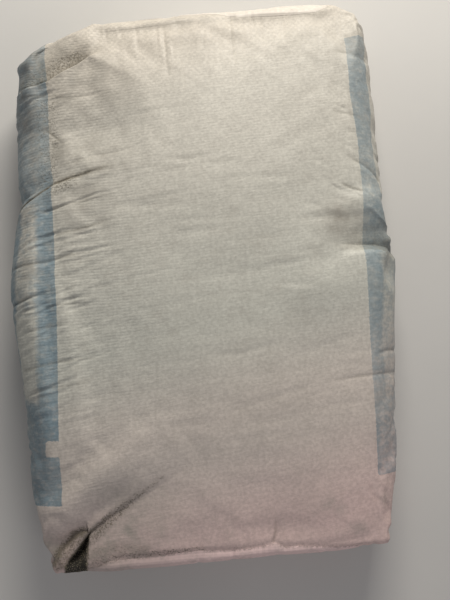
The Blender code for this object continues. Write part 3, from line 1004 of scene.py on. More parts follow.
# Fine wrinkles by area of the cloth: down the left of the face, broad and faint ones over its middle,
# down from the top end, right of the top, at the bottom right corner, along the walls and the ends
WRINKLES = (
    dict(area=((-0.215, -0.105), (-0.175, 0.215)), count=170, turn=12, length=0.08, depth=0.00055,
         bank=0.0014, seed=11),
    dict(area=((-0.1, -0.02), (-0.14, 0.19)), count=40, turn=8, length=0.06, depth=0.00025, bank=0.0016,
         seed=12),
    dict(area=((-0.1, 0.16), (-0.16, 0.14)), count=34, turn=4, length=0.075, depth=0.00045, bank=0.0032,
         seed=13),
    dict(area=((-0.13, 0.1), (0.225, 0.285)), count=56, turn=92, length=0.034, depth=0.00045, bank=0.0015,
         seed=23),
    dict(area=((0.115, 0.165), (0.05, 0.21)), count=30, turn=-28, length=0.022, depth=0.0005, bank=0.0015,
         seed=31),
    dict(area=((0.15, 0.19), (-0.26, -0.19)), count=26, turn=-65, length=0.022, depth=0.0009, bank=0.0017,
         seed=37),
    dict(area=((-0.3, -0.2), (-0.25, 0.25)), count=60, turn=8, length=0.05, depth=0.0012, bank=0.0026,
         seed=41),
    dict(area=((0.2, 0.3), (-0.25, 0.25)), count=60, turn=-8, length=0.05, depth=0.0012, bank=0.0026,
         seed=42),
    dict(area=((-0.16, 0.16), (-0.33, -0.28)), count=24, turn=84, length=0.04, depth=0.0008, bank=0.0026,
         seed=43),
    dict(area=((-0.16, 0.16), (0.29, 0.34)), count=24, turn=95, length=0.04, depth=0.0008, bank=0.0026,
         seed=44),
)


def across_at(skin, edge):
    """Where an edge that runs along the sack lies across it, at the height of each point."""
    order = np.argsort(edge[:, 1])
    return np.interp(skin.t, edge[order, 1], edge[order, 0])


def print_depth(skin, edge, sign, width, past=0.0):
    """How deep each point lies inside a stripe: sign -1 is the left stripe, whose cloth lies at lower
    s than its inner edge. The stripe reaches on past the top of that edge."""
    inward = (skin.s - across_at(skin, edge)) * sign
    low, high = edge[:, 1].min(), edge[:, 1].max() + past
    return np.minimum(np.minimum(inward, width - inward), np.minimum(skin.t - low, high - skin.t))


def outer_edge(skin, outer, inner, width):
    """How far inside the right stripe's outer edge each point lies, where that edge shows, and how far
    inside the full width of the stripe it lies further down."""
    full = across_at(skin, inner) + width
    return np.where(skin.t > outer[-1, 1], across_at(skin, outer), full) - skin.s


def refine(obj, lines, reach):
    """Cuts the faces around traced lines of the cloth into four."""
    cloth_map = ClothMap(obj.data)
    middles = np.array([np.mean(corners, axis=0)[:2] for corners in cloth_map.corners])
    chosen = np.zeros(len(middles), bool)
    for line in lines:
        chosen |= abs(path_distance(middles, cloth_map.path(line))[0]) < reach
    shape = bmesh.new()
    shape.from_mesh(obj.data)
    shape.faces.ensure_lookup_table()
    edges = {edge for index in np.flatnonzero(chosen) for edge in shape.faces[index].edges}
    bmesh.ops.subdivide_edges(shape, edges=list(edges), cuts=1, use_grid_fill=True)
    shape.to_mesh(obj.data)
    shape.free()


def pull_corners(obj):
    """Brings the corners of the fabric to the outline of the photograph."""
    cloth_map = ClothMap(obj.data)
    skin = Skin(obj)
    for middle, reach, across, along in PULLS:
        skin.pull(cloth_map.cloth(middle), reach, across, along)
    move_points(obj.data, skin.points)


def press_folds(skin, cloth_map):
    """Presses every fold, crease and wrinkle of the photograph into the subdivided fabric."""
    face = window(skin.s, -FACE_REACH, FACE_REACH, FACE_FADE)
    for cell, height, seed in SWELLS:
        skin.swell(cell, height, face, seed)
    for group in WRINKLES:
        skin.wrinkles(**group)
    for press, table in ((skin.slope, SLOPES), (skin.crease, CREASES), (skin.ridge, RIDGES)):
        for traced in table:
            press(**cloth_map.laid(traced))
    skin.hollow(cloth_map.path(MOUTH), MOUTH_DEPTH, MOUTH_EDGE)
    hem = cloth_map.path(BOTTOM_HEM, (0.0, HEM_PAST))
    skin.slope(hem, hem - np.array([0.0, HEM_FLAT]), 0.0, -HEM_LIFT, HEM_SOFT, (HEM_FLAT, HEM_FLAT),
               steepening=1.0, taper=HEM_ENDS)


def lay_wear(skin, cloth_map):
    """Lays the traced dirt, stains, painted shade and rubbed places on the fabric."""
    # The mouth of the dog-ear takes dirt and a painted shadow
    mouth_dirt_and_shade = cloth_map.path(MOUTH_DIRT_AND_SHADE)
    mouth_dirt_and_shade[list(MOUTH_OPEN), 1] -= MOUTH_DROP
    skin.cake(mouth_dirt_and_shade, MOUTH_GRIME_AND_SHADE, MOUTH_SOFTNESS, MOUTH_CRUST_AND_SHADE)
    for middle, reach, amount in STAINS_AND_SHADE:
        skin.darken_softly(cloth_map.cloth(middle), reach, amount)
    for lay, table in ((skin.cake, CAKED), (skin.scuff, SCUFFS)):
        for traced in table:
            lay(**cloth_map.laid(traced))


def lay_stripes(skin, cloth_map, width):
    """Marks how deep each point lies inside the two printed stripes."""
    left, right, outer, notch = (
        cloth_map.path(line) for line in (LEFT_STRIPE, RIGHT_STRIPE, RIGHT_STRIPE_OUTER, BARE_NOTCH))
    skin.left_print = np.minimum(print_depth(skin, left, -1, width, LEFT_STRIPE_PAST),
                                 -inside_depth(skin.cloth, notch))
    skin.right_print = np.minimum(print_depth(skin, right, 1, width), outer_edge(skin, outer, right, width))


def add_node(tree, kind, values=None, **settings):
    """Adds a node to a tree: its settings first, then its inputs, each joined to a socket or set."""
    made = tree.nodes.new(kind)
    for name, value in settings.items():
        setattr(made, name, value)
    for key, value in (values or {}).items():
        give(tree, made.inputs[key], value)
    return made


def give(tree, socket, value):
    """Joins an input to another node's socket, or sets it to a plain value."""
    if isinstance(value, bpy.types.NodeSocket):
        tree.links.new(value, socket)
    else:
        socket.default_value = value


# The noises of the finishes: how many cells they have to the metre (the wrinkles to the stretched cell),
# how many finer layers, and how rough those are
NOISES = {
    "wander": (22.0, 1.0, 0.5),
    "fray": (420.0, 1.0, 0.5),
    "rub": (120.0, 4.0, 0.60),
    "fade": (26.0, 5.0, 0.65),
    "cloud": (9.0, 5.0, 0.62),
    "dust": (70.0, 6.0, 0.7),
    "strip dust": (60.0, 6.0, 0.7),
    "specks": (520.0, 2.0, 0.6),
    "patches": (130.0, 4.0, 0.6),
    "spots": (620.0, 3.0, 0.7),
    "crumble": (340.0, 3.0, 0.75),
    "strip crumble": (400.0, 4.0, 0.7),
    "crumb": (260.0, 4.0, 0.7),
    "mottle": (330.0, 3.0, 0.6),
    "uneven": (60.0, 3.0, 0.5),
    "grain": (900.0, 2.0, 0.6),
    "floor": (3.0, 4.0, 0.5),
    "wrinkles": (1.0, 3.0, 0.6),
}
# How the cells of the noise that draws fine wrinkles are stretched, in metres, and turned, in degrees
FINE_CELL = (0.030, 0.0030, 1.0)
FINE_TURN = 12
# How the cells of the noise of rubbed places are stretched
RUB_CELL = (1.0, 0.6, 1.0)
# How high the bumps are: fine wrinkles, the weave, the grain of the tape, the crust of the dirt, the
# strips' weave and dirt, and the crumbs
WRINKLE_BUMP, WEAVE_BUMP, GRAIN_BUMP, CRUST_BUMP = 0.0009, 0.00016, 0.00012, 0.0012
STRIP_BUMP, CRUMB_BUMP = 0.0002, 0.0004
# How bright the dirt is at its darkest and at its palest, the painted shadow deep in the mouth, the
# dirt on the strips and on the crumbs, and how bright the floor's mottling is, as shares of their own colour
DIRT_SHADES = (0.9, 2.2)
MOUTH_SHADE = 0.30
STRIP_SHADE = 1.3
CRUMB_SHADES = (1.3, 3.6)
FLOOR_SHADES = (0.97, 1.03)
# How polypropylene bends light
PLASTIC_IOR = 1.49


class Finish:
    """Adds the nodes of one material and joins them to its shader."""

    def __init__(self, name):
        self.material = bpy.data.materials.new(name)
        self.material.use_nodes = True
        self.tree = self.material.node_tree
        self.node = partial(add_node, self.tree)

    def shade(self, values):
        """Gives the shader its inputs, and returns the finished material."""
        for name, value in values.items():
            give(self.tree, self.tree.nodes["Principled BSDF"].inputs[name], value)
        return self.material

    def cloth(self):
        """The cloth coordinates."""
        return self.node("ShaderNodeUVMap", uv_map="cloth").outputs[0]

    def place(self):
        """The place in the sack's own space."""
        return self.node("ShaderNodeTexCoord").outputs["Object"]

    def layer(self, name):
        """One of the layers that the skin left on the mesh."""
        return self.node("ShaderNodeAttribute", attribute_name=name).outputs["Fac"]

    def parts(self, vector):
        """The separate numbers of a vector."""
        return list(self.node("ShaderNodeSeparateXYZ", {0: vector}).outputs)

    def math(self, operation, *values, clamp=False):
        """A sum or another operation on numbers."""
        return self.node("ShaderNodeMath", dict(enumerate(values)), operation=operation,
                         use_clamp=clamp).outputs[0]

    def product(self, *values):
        """All the values multiplied together."""
        return reduce(partial(self.math, "MULTIPLY"), values)

    def between(self, value, low, high, to_low=0.0, to_high=1.0):
        """A value carried smoothly from one range to another."""
        return self.node("ShaderNodeMapRange", dict(enumerate((value, low, high, to_low, to_high))),
                         interpolation_type="SMOOTHSTEP").outputs[0]

    def mix(self, share, low, high, blend="MIX"):
        """One colour covered with another by a share."""
        return self.node("ShaderNodeMix", {0: share, 6: low, 7: high}, data_type="RGBA", blend_type=blend,
                         clamp_factor=True).outputs[2]

    def dimmed(self, colour, value):
        """A colour multiplied by a value."""
        grey = self.node("ShaderNodeCombineColor", {0: value, 1: value, 2: value}).outputs[0]
        return self.mix(1.0, colour, grey, "MULTIPLY")

    def shades(self, share, colour, shades):
        """A colour from a darker to a brighter shade of it by a share."""
        return self.mix(share, *(rgba(colour, shade) for shade in shades))

    def noise(self, vector, name):
        """One of the soft noises, from 0 to 1."""
        scale, detail, roughness = NOISES[name]
        return self.node("ShaderNodeTexNoise", {"Vector": vector, "Scale": scale, "Detail": detail,
                                                "Roughness": roughness}).outputs["Fac"]

    def scatter(self, value):
        """A different random number for each whole value."""
        return self.node("ShaderNodeTexWhiteNoise", {"W": value}, noise_dimensions="1D").outputs["Value"]

    def stretched(self, vector, turn, scale):
        """A vector turned in its own plane by degrees, then scaled along its axes."""
        return self.node("ShaderNodeMapping", {"Vector": vector, "Rotation": (0.0, 0.0, math.radians(turn)),
                                               "Scale": scale}, vector_type="TEXTURE").outputs[0]

    def bump(self, height, distance, strength=1.0, normal=None):
        """A normal that a height tilts, on top of another normal if one is given."""
        values = {"Strength": strength, "Distance": distance, "Height": height}
        if normal is not None:
            values["Normal"] = normal
        return self.node("ShaderNodeBump", values).outputs[0]


def rgba(colour, share=1.0):
    """A colour with its alpha, made brighter or darker by a share."""
    return (*(part * share for part in colour), 1.0)


# How high the valleys between lengthwise tapes stay, as a share of the cushions
VALLEY_FLOOR = 0.75
# For the lengthwise tapes and for the crosswise ones: how many tape widths they wander sideways, and
# the power that flattens their backs
TAPE_RUNS = ((0.9, 0.35), (-0.7, 0.75))
# The number of the tape at the middle of the face, high enough to keep them all above 0
MIDDLE_TAPE = 500.0


def weave(finish, cloth, tape_width):
    """The plain weave of flat tapes: its height from 0 to 1, which is a cushion wherever a tape lies on
    top, 1 where that is a lengthwise tape, and a random number for the tape."""
    wander = finish.noise(cloth, "wander")
    arches, numbers = [], []
    for part, (sideways, flatness) in zip(finish.parts(cloth), TAPE_RUNS):
        count = finish.math("MULTIPLY_ADD", part, 1 / tape_width, MIDDLE_TAPE)
        count = finish.math("MULTIPLY_ADD", wander, sideways, count)
        numbers.append(finish.math("FLOOR", count))
        wave = finish.math("ABSOLUTE", finish.math("SINE", finish.math("MULTIPLY", count, math.pi)))
        arches.append(finish.math("POWER", wave, flatness))
    arches[0] = finish.math("MULTIPLY_ADD", arches[0], 1 - VALLEY_FLOOR, VALLEY_FLOOR)
    lengthwise = finish.math("MODULO", finish.math("ADD", *numbers), 2.0)
    number = finish.math("MULTIPLY_ADD", finish.math("SUBTRACT", *numbers), lengthwise, numbers[1])
    luck = finish.scatter(finish.math("MULTIPLY_ADD", number, 1.37, lengthwise))
    return finish.product(*arches), lengthwise, luck


# How the tape's colour is tinted along the sack, against the share of the length from the bottom end: a
# painted pink light at the bottom end, greener in the middle, and darker and warmer at the top end
PAINTED_LIGHT_TINTS = ((0.0, (1.19, 0.945, 0.99)), (0.22, (1.02, 0.965, 0.98)), (0.42, (0.945, 0.995, 1.0)),
             (0.80, (0.97, 0.985, 0.985)), (0.96, (0.935, 0.91, 0.885)))
# How that colour shifts across the sack, as a share of its length for each metre to the right
TINT_TURN = -0.35
# The colours of handling stains and of broad painted shade, of cement dust on the fabric and on the strips,
# and of dark specks
STAIN_AND_SHADE_COLOUR = (0.33, 0.31, 0.27)
DUST_COLOUR = (0.33, 0.30, 0.26)
STRIP_DUST_COLOUR = (0.35, 0.31, 0.28)
SPECK_COLOUR = (0.14, 0.12, 0.10)
# How strongly each stripe is printed
STRIPE_INKS = (("left_print", 1.0), ("right_print", 0.80))
# Half the width over which the edge of the print goes from bare to inked, and how far it frays
INK_EDGE = 0.0002
INK_FRAY = 0.0008


def light_tinted(finish, share, tape):
    """The tape's colour at a share of the length, tinted by the painted colour of the light."""
    shade = finish.node("ShaderNodeValToRGB", {0: share})
    ramp = shade.color_ramp
    ramp.interpolation = "EASE"
    for index, (at, tint) in enumerate(PAINTED_LIGHT_TINTS):
        stop = ramp.elements[index] if index < 2 else ramp.elements.new(at)
        stop.position = at
        stop.color = rgba(part * change for part, change in zip(tape, tint))
    return shade.outputs[0]


def length_share(finish, along, sizes):
    """The share of the sack's length from its bottom end, from the cloth coordinate along it."""
    return finish.math("MULTIPLY_ADD", along, 1 / sizes.sack_length, 0.5)


def printed(finish, cloth, colour, ink):
    """The print of the stripes over the tape's colour, faded in clouds and worn through where it rubbed."""
    fray = finish.math("MULTIPLY_ADD", finish.noise(cloth, "fray"), 2 * INK_FRAY, -INK_FRAY)
    rub = finish.noise(finish.stretched(cloth, 0, RUB_CELL), "rub")
    fade = finish.between(finish.noise(cloth, "fade"), 0.35, 0.70, 0.98, 0.76)
    worn = finish.layer("worn")
    thin = finish.math("MULTIPLY_ADD", worn, 0.12, rub)
    bare = finish.math("MULTIPLY_ADD", worn, 0.30, finish.between(thin, 0.44, 0.84, 0.0, 0.6), clamp=True)
    cover = finish.product(fade, finish.math("SUBTRACT", 1.0, bare))
    for side, strength in STRIPE_INKS:
        depth = finish.math("ADD", finish.layer(side), fray)
        inked = finish.between(depth, -INK_EDGE, INK_EDGE, 0.0, strength)
        colour = finish.mix(finish.product(inked, cover), colour, ink)
    return colour


def dusted_and_shaded(finish, place, cloud, colour):
    """A colour under handling stains and broad painted shade, cement dust and dark specks."""
    dust = finish.noise(place, "dust")
    stained_and_shaded = finish.math("MULTIPLY_ADD", finish.layer("stain"), finish.between(dust, 0.3, 0.7, 0.35, 1.0),
                          finish.between(cloud, 0.48, 0.72, 0.0, 0.20))
    colour = finish.mix(finish.product(stained_and_shaded, 0.7), colour, rgba(STAIN_AND_SHADE_COLOUR))
    colour = finish.mix(finish.between(dust, 0.50, 0.72, 0.0, 0.18), colour, rgba(DUST_COLOUR))
    specks = finish.between(finish.noise(place, "specks"), 0.70, 0.78, 0.0, 0.35)
    return finish.mix(specks, colour, rgba(SPECK_COLOUR))


def dirt_and_shade_share(finish, place):
    """How much of the surface is covered by the dirt and the painted shade that lie in the folds: all of it
    where they are smooth, and spots where the dirt is caked."""
    patchy = finish.between(finish.noise(place, "patches"), 0.3, 0.7, 0.75, 1.15)
    spots = finish.between(finish.noise(place, "spots"), 0.34, 0.64, 0.9, 0.0)
    caked = finish.math("MULTIPLY_ADD", finish.layer("crust"), 1.2, finish.product(spots, -1.0))
    return finish.math("MAXIMUM", finish.product(finish.layer("grime"), patchy),
                       finish.between(caked, 0.0, 0.5, 0.0, 0.8), clamp=True)


def woven_finish(sizes, colours):
    """The printed, dusty woven fabric, with painted light and shade."""
    finish = Finish("woven_tape")
    cloth, place = finish.cloth(), finish.place()
    across, along, _ = finish.parts(cloth)
    height, lengthwise, luck = weave(finish, cloth, sizes.tape_width)
    share = length_share(finish, along, sizes)

    # Tapes differ a little; at the clean top end the lengthwise ones carry bright ovals, a painted
    # highlight, and the valleys between the tapes are darker, a painted shade. The weave shows less where
    # the print ground is thicker, from the middle to the right
    loose = finish.between(across, -0.15, 0.0, 1.0, 0.30)
    oval_highlights = finish.product(lengthwise, finish.between(share, 0.45, 0.95), loose)
    woven = finish.product(
        finish.between(luck, 0.0, 1.0, 0.975, 1.02),
        finish.math("MULTIPLY_ADD", oval_highlights, 0.15, 0.96),
        finish.between(finish.noise(place, "mottle"), 0.32, 0.68, 0.90, 1.09),
        finish.between(height, 0.0, 0.75, finish.math("MULTIPLY_ADD", loose, -0.04, 1.0), 1.01))
    # The tint along the sack is painted light laid on the tape's colour
    tinted = finish.math("MULTIPLY_ADD", across, TINT_TURN, share)
    colour = finish.dimmed(light_tinted(finish, tinted, colours.tape), woven)
    colour = printed(finish, cloth, colour, finish.dimmed(rgba(colours.stripe), woven))

    cloud = finish.noise(place, "cloud")
    colour = dusted_and_shaded(finish, place, cloud, colour)
    # Dirt and painted shade cover the folds
    soiled_and_shaded = dirt_and_shade_share(finish, place)
    crumble = finish.noise(place, "crumble")
    dirt = finish.shades(finish.between(crumble, 0.35, 0.65), colours.grime, DIRT_SHADES)
    # Where the caked dirt runs deepest, in the mouth of the dog-ear, it turns to a painted shadow
    dirt = finish.mix(finish.between(finish.layer("crust"), 1.0, 1.8), dirt,
                      rgba(colours.grime, MOUTH_SHADE))

    # Tapes differ in their gloss too, and dust and dirt dull it
    rough = finish.math("MULTIPLY_ADD", luck, 0.12, finish.math("MULTIPLY_ADD", cloud, 0.18, 0.40))
    rough = finish.math("MULTIPLY_ADD", soiled_and_shaded, 0.3, rough, clamp=True)

    # From below: fine wrinkles, the weave, the grain of the tape and the crust of the dirt
    fine = finish.noise(finish.stretched(cloth, FINE_TURN, FINE_CELL), "wrinkles")
    normal = finish.bump(fine, WRINKLE_BUMP, finish.between(across, -0.14, 0.0, 0.50, 0.25))
    uneven = finish.between(finish.noise(cloth, "uneven"), 0.3, 0.7, 0.35, 1.0)
    raised = finish.product(loose, uneven, finish.between(share, 0.15, 0.55, 0.35, 1.0))
    normal = finish.bump(height, WEAVE_BUMP, raised, normal)
    normal = finish.bump(finish.noise(place, "grain"), GRAIN_BUMP, 0.6, normal)
    normal = finish.bump(finish.product(crumble, soiled_and_shaded), CRUST_BUMP, 0.8, normal)
    return finish.shade({"Base Color": finish.mix(soiled_and_shaded, colour, dirt), "Roughness": rough,
                         "IOR": PLASTIC_IOR, "Normal": normal})


def coated_finish(sizes, colours):
    """The paler, coated strips over the ends, with painted light and shade."""
    finish = Finish("coated_patch")
    cloth, place = finish.cloth(), finish.place()
    across, along, _ = finish.parts(cloth)
    height, _, luck = weave(finish, cloth, sizes.tape_width)
    # Tapes differ a little, and the valleys between them are darker, a painted shade
    woven = finish.product(finish.between(luck, 0.0, 1.0, 0.94, 1.03),
                           finish.between(height, 0.0, 0.6, 0.90, 1.0))
    # The strips take the same painted tint of the light along the sack
    colour = finish.dimmed(light_tinted(finish, length_share(finish, along, sizes), colours.patch), woven)
    dust = finish.between(finish.noise(place, "strip dust"), 0.48, 0.70, 0.0, 0.35)
    # The strips also take that colour, darker towards their left ends
    dust = finish.math("ADD", dust, finish.between(across, -0.16, 0.02, 0.8, 0.0), clamp=True)
    colour = finish.mix(dust, colour, rgba(STRIP_DUST_COLOUR))
    rim = finish.between(finish.layer("rim"), 0.0, 1.0, 0.0, 0.5)
    crumble = finish.noise(place, "strip crumble")
    dirty = finish.product(rim, finish.between(crumble, 0.42, 0.60))
    normal = finish.bump(crumble, STRIP_BUMP, 0.5, finish.bump(height, STRIP_BUMP, 0.35))
    return finish.shade({"Base Color": finish.mix(dirty, colour, rgba(colours.grime, STRIP_SHADE)),
                         "Roughness": finish.math("MULTIPLY_ADD", crumble, 0.25, 0.38), "Normal": normal})


def crumb_finish(colours):
    """Caked cement crumbs and mud."""
    finish = Finish("crumbs")
    mottle = finish.noise(finish.place(), "crumb")
    colour = finish.shades(finish.between(mottle, 0.3, 0.7), colours.grime, CRUMB_SHADES)
    return finish.shade({"Base Color": colour, "Roughness": 0.92,
                         "Normal": finish.bump(mottle, CRUMB_BUMP)})


# How closely the crumbs may lie, how many a square metre holds where the dirt is thickest, the amount
# of caked dirt at which they begin and at which they lie thickest, and their seed
CRUMB_SPACING = 0.0012
CRUMB_DENSITY = 420000.0
CRUMB_DIRT = (0.55, 1.00)
CRUMB_SEED = 4
# How long a crumb may be along each of its axes, in crumb sizes
CRUMB_LEAST, CRUMB_MOST = (0.4, 0.4, 0.3), (1.5, 1.3, 0.9)


def crumb_tree(material):
    """Scatters angular crumbs where the fabric's caked dirt is thick. Returns the tree and the
    identifiers of its inputs."""
    tree = bpy.data.node_groups.new("Crumbs", "GeometryNodeTree")
    tree.is_modifier = True
    face = tree.interface
    face.new_socket("Geometry", in_out="INPUT", socket_type="NodeSocketGeometry")
    face.new_socket("Geometry", in_out="OUTPUT", socket_type="NodeSocketGeometry")
    kinds = {"Size": "NodeSocketFloat", "Spacing": "NodeSocketFloat", "Density": "NodeSocketFloat",
             "Seed": "NodeSocketInt"}
    inputs = {name: face.new_socket(name, in_out="INPUT", socket_type=kind).identifier
              for name, kind in kinds.items()}
    node = partial(add_node, tree)

    given = node("NodeGroupInput").outputs
    dirt = node("GeometryNodeInputNamedAttribute", {"Name": "crust"}, data_type="FLOAT").outputs["Attribute"]
    share = node("ShaderNodeMapRange", dict(enumerate((dirt, *CRUMB_DIRT)))).outputs[0]
    places = node("GeometryNodeDistributePointsOnFaces",
                  {"Mesh": given["Geometry"], "Distance Min": given["Spacing"],
                   "Density Max": given["Density"], "Density Factor": share, "Seed": given["Seed"]},
                  distribute_method="POISSON").outputs["Points"]
    ball = node("GeometryNodeMeshIcoSphere", {"Radius": 0.5, "Subdivisions": 1}).outputs["Mesh"]
    lumps = node("ShaderNodeTexNoise", {"Scale": 1.7, "Detail": 2.0}).outputs["Color"]
    bulge = node("ShaderNodeVectorMath", {0: lumps, 1: (-0.5, -0.5, -0.5)}, operation="ADD").outputs[0]
    lump = node("GeometryNodeSetPosition", {"Geometry": ball, "Offset": bulge}).outputs[0]
    turn, wide = (node("FunctionNodeRandomValue", {0: low, 1: high, "Seed": given["Seed"]},
                       data_type="FLOAT_VECTOR").outputs[0]
                  for low, high in (((0.0,) * 3, (math.tau,) * 3), (CRUMB_LEAST, CRUMB_MOST)))
    scale = node("ShaderNodeVectorMath", {0: wide, "Scale": given["Size"]}, operation="SCALE").outputs[0]
    crumbs = node("GeometryNodeInstanceOnPoints", {"Points": places, "Instance": lump, "Rotation": turn,
                                                   "Scale": scale}).outputs[0]
    single = node("GeometryNodeRealizeInstances", {0: crumbs}).outputs[0]
    painted = node("GeometryNodeSetMaterial", {"Geometry": single, "Material": material}).outputs[0]
    node("NodeGroupOutput", {"Geometry": painted})
    return tree, inputs


# The strip over each end: how far its surface lies off the fabric, its thickness, the turn above which
# its edges stay sharp, and how far down the end it reaches from the hem
STRIP_GAP = 0.0003
STRIP_THICKNESS = 0.0004
RIM_ANGLE = math.radians(40)
STRIP_DROP = 0.082
# Its grid steps across and down, and the power that makes them closer at the hem
STRIP_GRID = (150, 34)
GRID_POWER = 1.15
# How far below the lower hem the end is kept from rounding away, by how much it is lifted there, and
# how far above the hem that begins
HEM_FLAT = 0.009
HEM_LIFT = 0.0016
HEM_SOFT = 0.004
# How far that runs on past the right end of the hem, and the shares of its length over which it fades
HEM_PAST = 0.03
HEM_ENDS = (0.1, 0.01)
# The hem of the strip at the bottom, and of the one at the top, in the photograph's pixels
BOTTOM_HEM = ((88, 568.5), (112, 561.5), (150, 556.5), (199, 550.5), (230, 550.5), (262, 546.5),
              (275, 542.5), (285, 547), (299, 545.5), (330, 546.5), (359, 545))
TOP_HEM = ((126, 20), (180, 17), (215, 16), (228, 17), (240, 17), (265, 16.5), (300, 14), (316, 12),
           (326, 9), (332, 6))
# The parts of the top hem that lie out of sight down the end, and how far
HIDDEN_HEM = ((126, 0.006), (200, 0.006), (232, 0.0), (322, 0.0), (332, 0.005))
# How thin the strip is along its hem, how close it lies there, both as shares, and over what length
# that changes
HEM_SHARE = 0.10
HEM_CLOSE = 0.35
HEM_TAPER = 0.004
# How far down from the bottom hem the strip is dirty, and what one grid step counts as from its two ends
DIRTY_RIM = 0.003
END_STEP = 0.0015


def make_strip(name, cloth_map, hem, sign, material):
    """A thin strip that follows the fabric from its hem over the end and down, and its width; sign is 1
    at the top end and -1 at the bottom."""
    hidden = np.interp([pixel[0] for pixel in hem], *np.array(HIDDEN_HEM).T) if sign > 0 else 0.0
    hem = cloth_map.path(hem)
    hem[:, 1] += hidden
    across, down = STRIP_GRID
    drops = [STRIP_DROP * (j / down) ** GRID_POWER for j in range(down + 1)]
    shape = bmesh.new()
    uv = shape.loops.layers.uv.new("cloth")
    rim = shape.verts.layers.float.new("rim")
    columns = []
    for i in range(across + 1):
        s = hem[0, 0] + (hem[-1, 0] - hem[0, 0]) * i / across
        start = np.interp(s, hem[:, 0], hem[:, 1])
        column = []
        for drop in drops:
            t = start + sign * drop
            point, normal = cloth_map.surface(s, t)
            open_share = float(smooth(drop / HEM_TAPER))
            gap = STRIP_GAP * (HEM_CLOSE + (1 - HEM_CLOSE) * open_share)
            vertex = shape.verts.new(point + normal * gap)
            vertex[rim] = max(0.0, 1 - drop / DIRTY_RIM) if sign < 0 else 0.0
            column.append((vertex, s, t))
        columns.append(column)
    for left, right in zip(columns, columns[1:]):
        for j in range(down):
            ring = [left[j], right[j], right[j + 1], left[j + 1]]
            if sign < 0:
                ring.reverse()
            face = shape.faces.new([corner[0] for corner in ring])
            for loop, (_, s, t) in zip(face.loops, ring):
                loop[uv].uv = (s, t)
            face.smooth = True
    mesh = bpy.data.meshes.new(name)
    shape.to_mesh(mesh)
    shape.free()
    mesh.materials.append(material)
    strip = new_object(name, mesh)
    thick = strip.vertex_groups.new(name="thick")
    for i in range(across + 1):
        for j, drop in enumerate(drops):
            away = min(drop, min(i, across - i) * END_STEP)
            thick.add([i * len(drops) + j], float(smooth(away / HEM_TAPER)), "REPLACE")
    thicken = strip.modifiers.new("Thickness", "SOLIDIFY")
    thicken.thickness = STRIP_THICKNESS
    thicken.offset = 1.0
    thicken.vertex_group = "thick"
    thicken.thickness_vertex_group = HEM_SHARE
    plain_mesh(strip)
    strip.data.set_sharp_from_angle(angle=RIM_ANGLE)
    strip.vertex_groups.clear()
    return strip, abs(hem[-1, 0] - hem[0, 0])


class CEMENT_SACK_OT_fabric(bpy.types.Operator):
    """Make the woven fabric of the filled sack, with its folds, print, dirt and painted light and shade"""

    bl_idname = "cement_sack.fabric"
    bl_label = "Sack Fabric"

    def execute(self, context):
        sizes, colours = context.scene.cement_sack_sizes, context.scene.cement_sack_colours
        obj = Fabric(SackShape(sizes)).make_object("sack_cloth")
        settle_cloth(obj, sizes)
        finer = obj.modifiers.new("Finer", "SUBSURF")
        finer.levels = finer.render_levels = 1
        plain_mesh(obj)
        pull_corners(obj)
        refine(obj, [traced["path"] for traced in CREASES + RIDGES], FINE_REACH)
        refine(obj, CORNER_LINES, FINE_REACH / 2)
        obj.data.shade_smooth()
        skin, cloth_map = Skin(obj), ClothMap(obj.data)
        press_folds(skin, cloth_map)
        lay_wear(skin, cloth_map)
        lay_stripes(skin, cloth_map, sizes.stripe_width)
        skin.write()
        obj.data.materials.append(woven_finish(sizes, colours))
        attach(obj, BODY)
        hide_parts("sack")
        return {"FINISHED"}


class CEMENT_SACK_OT_crumbs(bpy.types.Operator):
    """Scatter crumbs of caked cement in the dirtiest folds"""

    bl_idname = "cement_sack.crumbs"
    bl_label = "Crumbs"

    def execute(self, context):
        sizes, colours = context.scene.cement_sack_sizes, context.scene.cement_sack_colours
        crumbs = new_object("crumbs", bpy.data.objects["sack_cloth"].data.copy())
        scatter = crumbs.modifiers.new("Scatter", "NODES")
        scatter.node_group, inputs = crumb_tree(crumb_finish(colours))
        for name, value in (("Size", sizes.crumb_size), ("Spacing", CRUMB_SPACING),
                            ("Density", CRUMB_DENSITY), ("Seed", CRUMB_SEED)):
            scatter[inputs[name]] = value
        plain_mesh(crumbs)
        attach(crumbs, BODY)
        return {"FINISHED"}


class CEMENT_SACK_OT_strips(bpy.types.Operator):
    """Make the coated strips that close the two ends"""

    bl_idname = "cement_sack.strips"
    bl_label = "End Strips"

    def execute(self, context):
        sizes, colours = context.scene.cement_sack_sizes, context.scene.cement_sack_colours
        coated = coated_finish(sizes, colours)
        cloth_map = ClothMap(bpy.data.objects["sack_cloth"].data)
        for name, node, hem, sign in (("bottom_strip", "bottom_patch", BOTTOM_HEM, -1),
                                      ("top_strip", "top_patch", TOP_HEM, 1)):
            strip, width = make_strip(name, cloth_map, hem, sign, coated)
            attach(strip, BODY)
            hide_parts(node)
        return {"FINISHED"}


# The lights: how strong each is as a share of the key's power, where it stands, what it is turned to,
# the side of its square and its colour
LIGHTS = {
    "key": (1.0, (0.20, 0.90, 0.66), (0.0, 0.02, 0.05), 0.50, (1.0, 0.95, 0.87)),
    "fill": (0.20, (0.3, -0.9, 1.1), (0.0, -0.1, 0.0), 0.9, (1.0, 0.93, 0.94)),
}
SKY_COLOUR = (0.95, 0.97, 1.0)


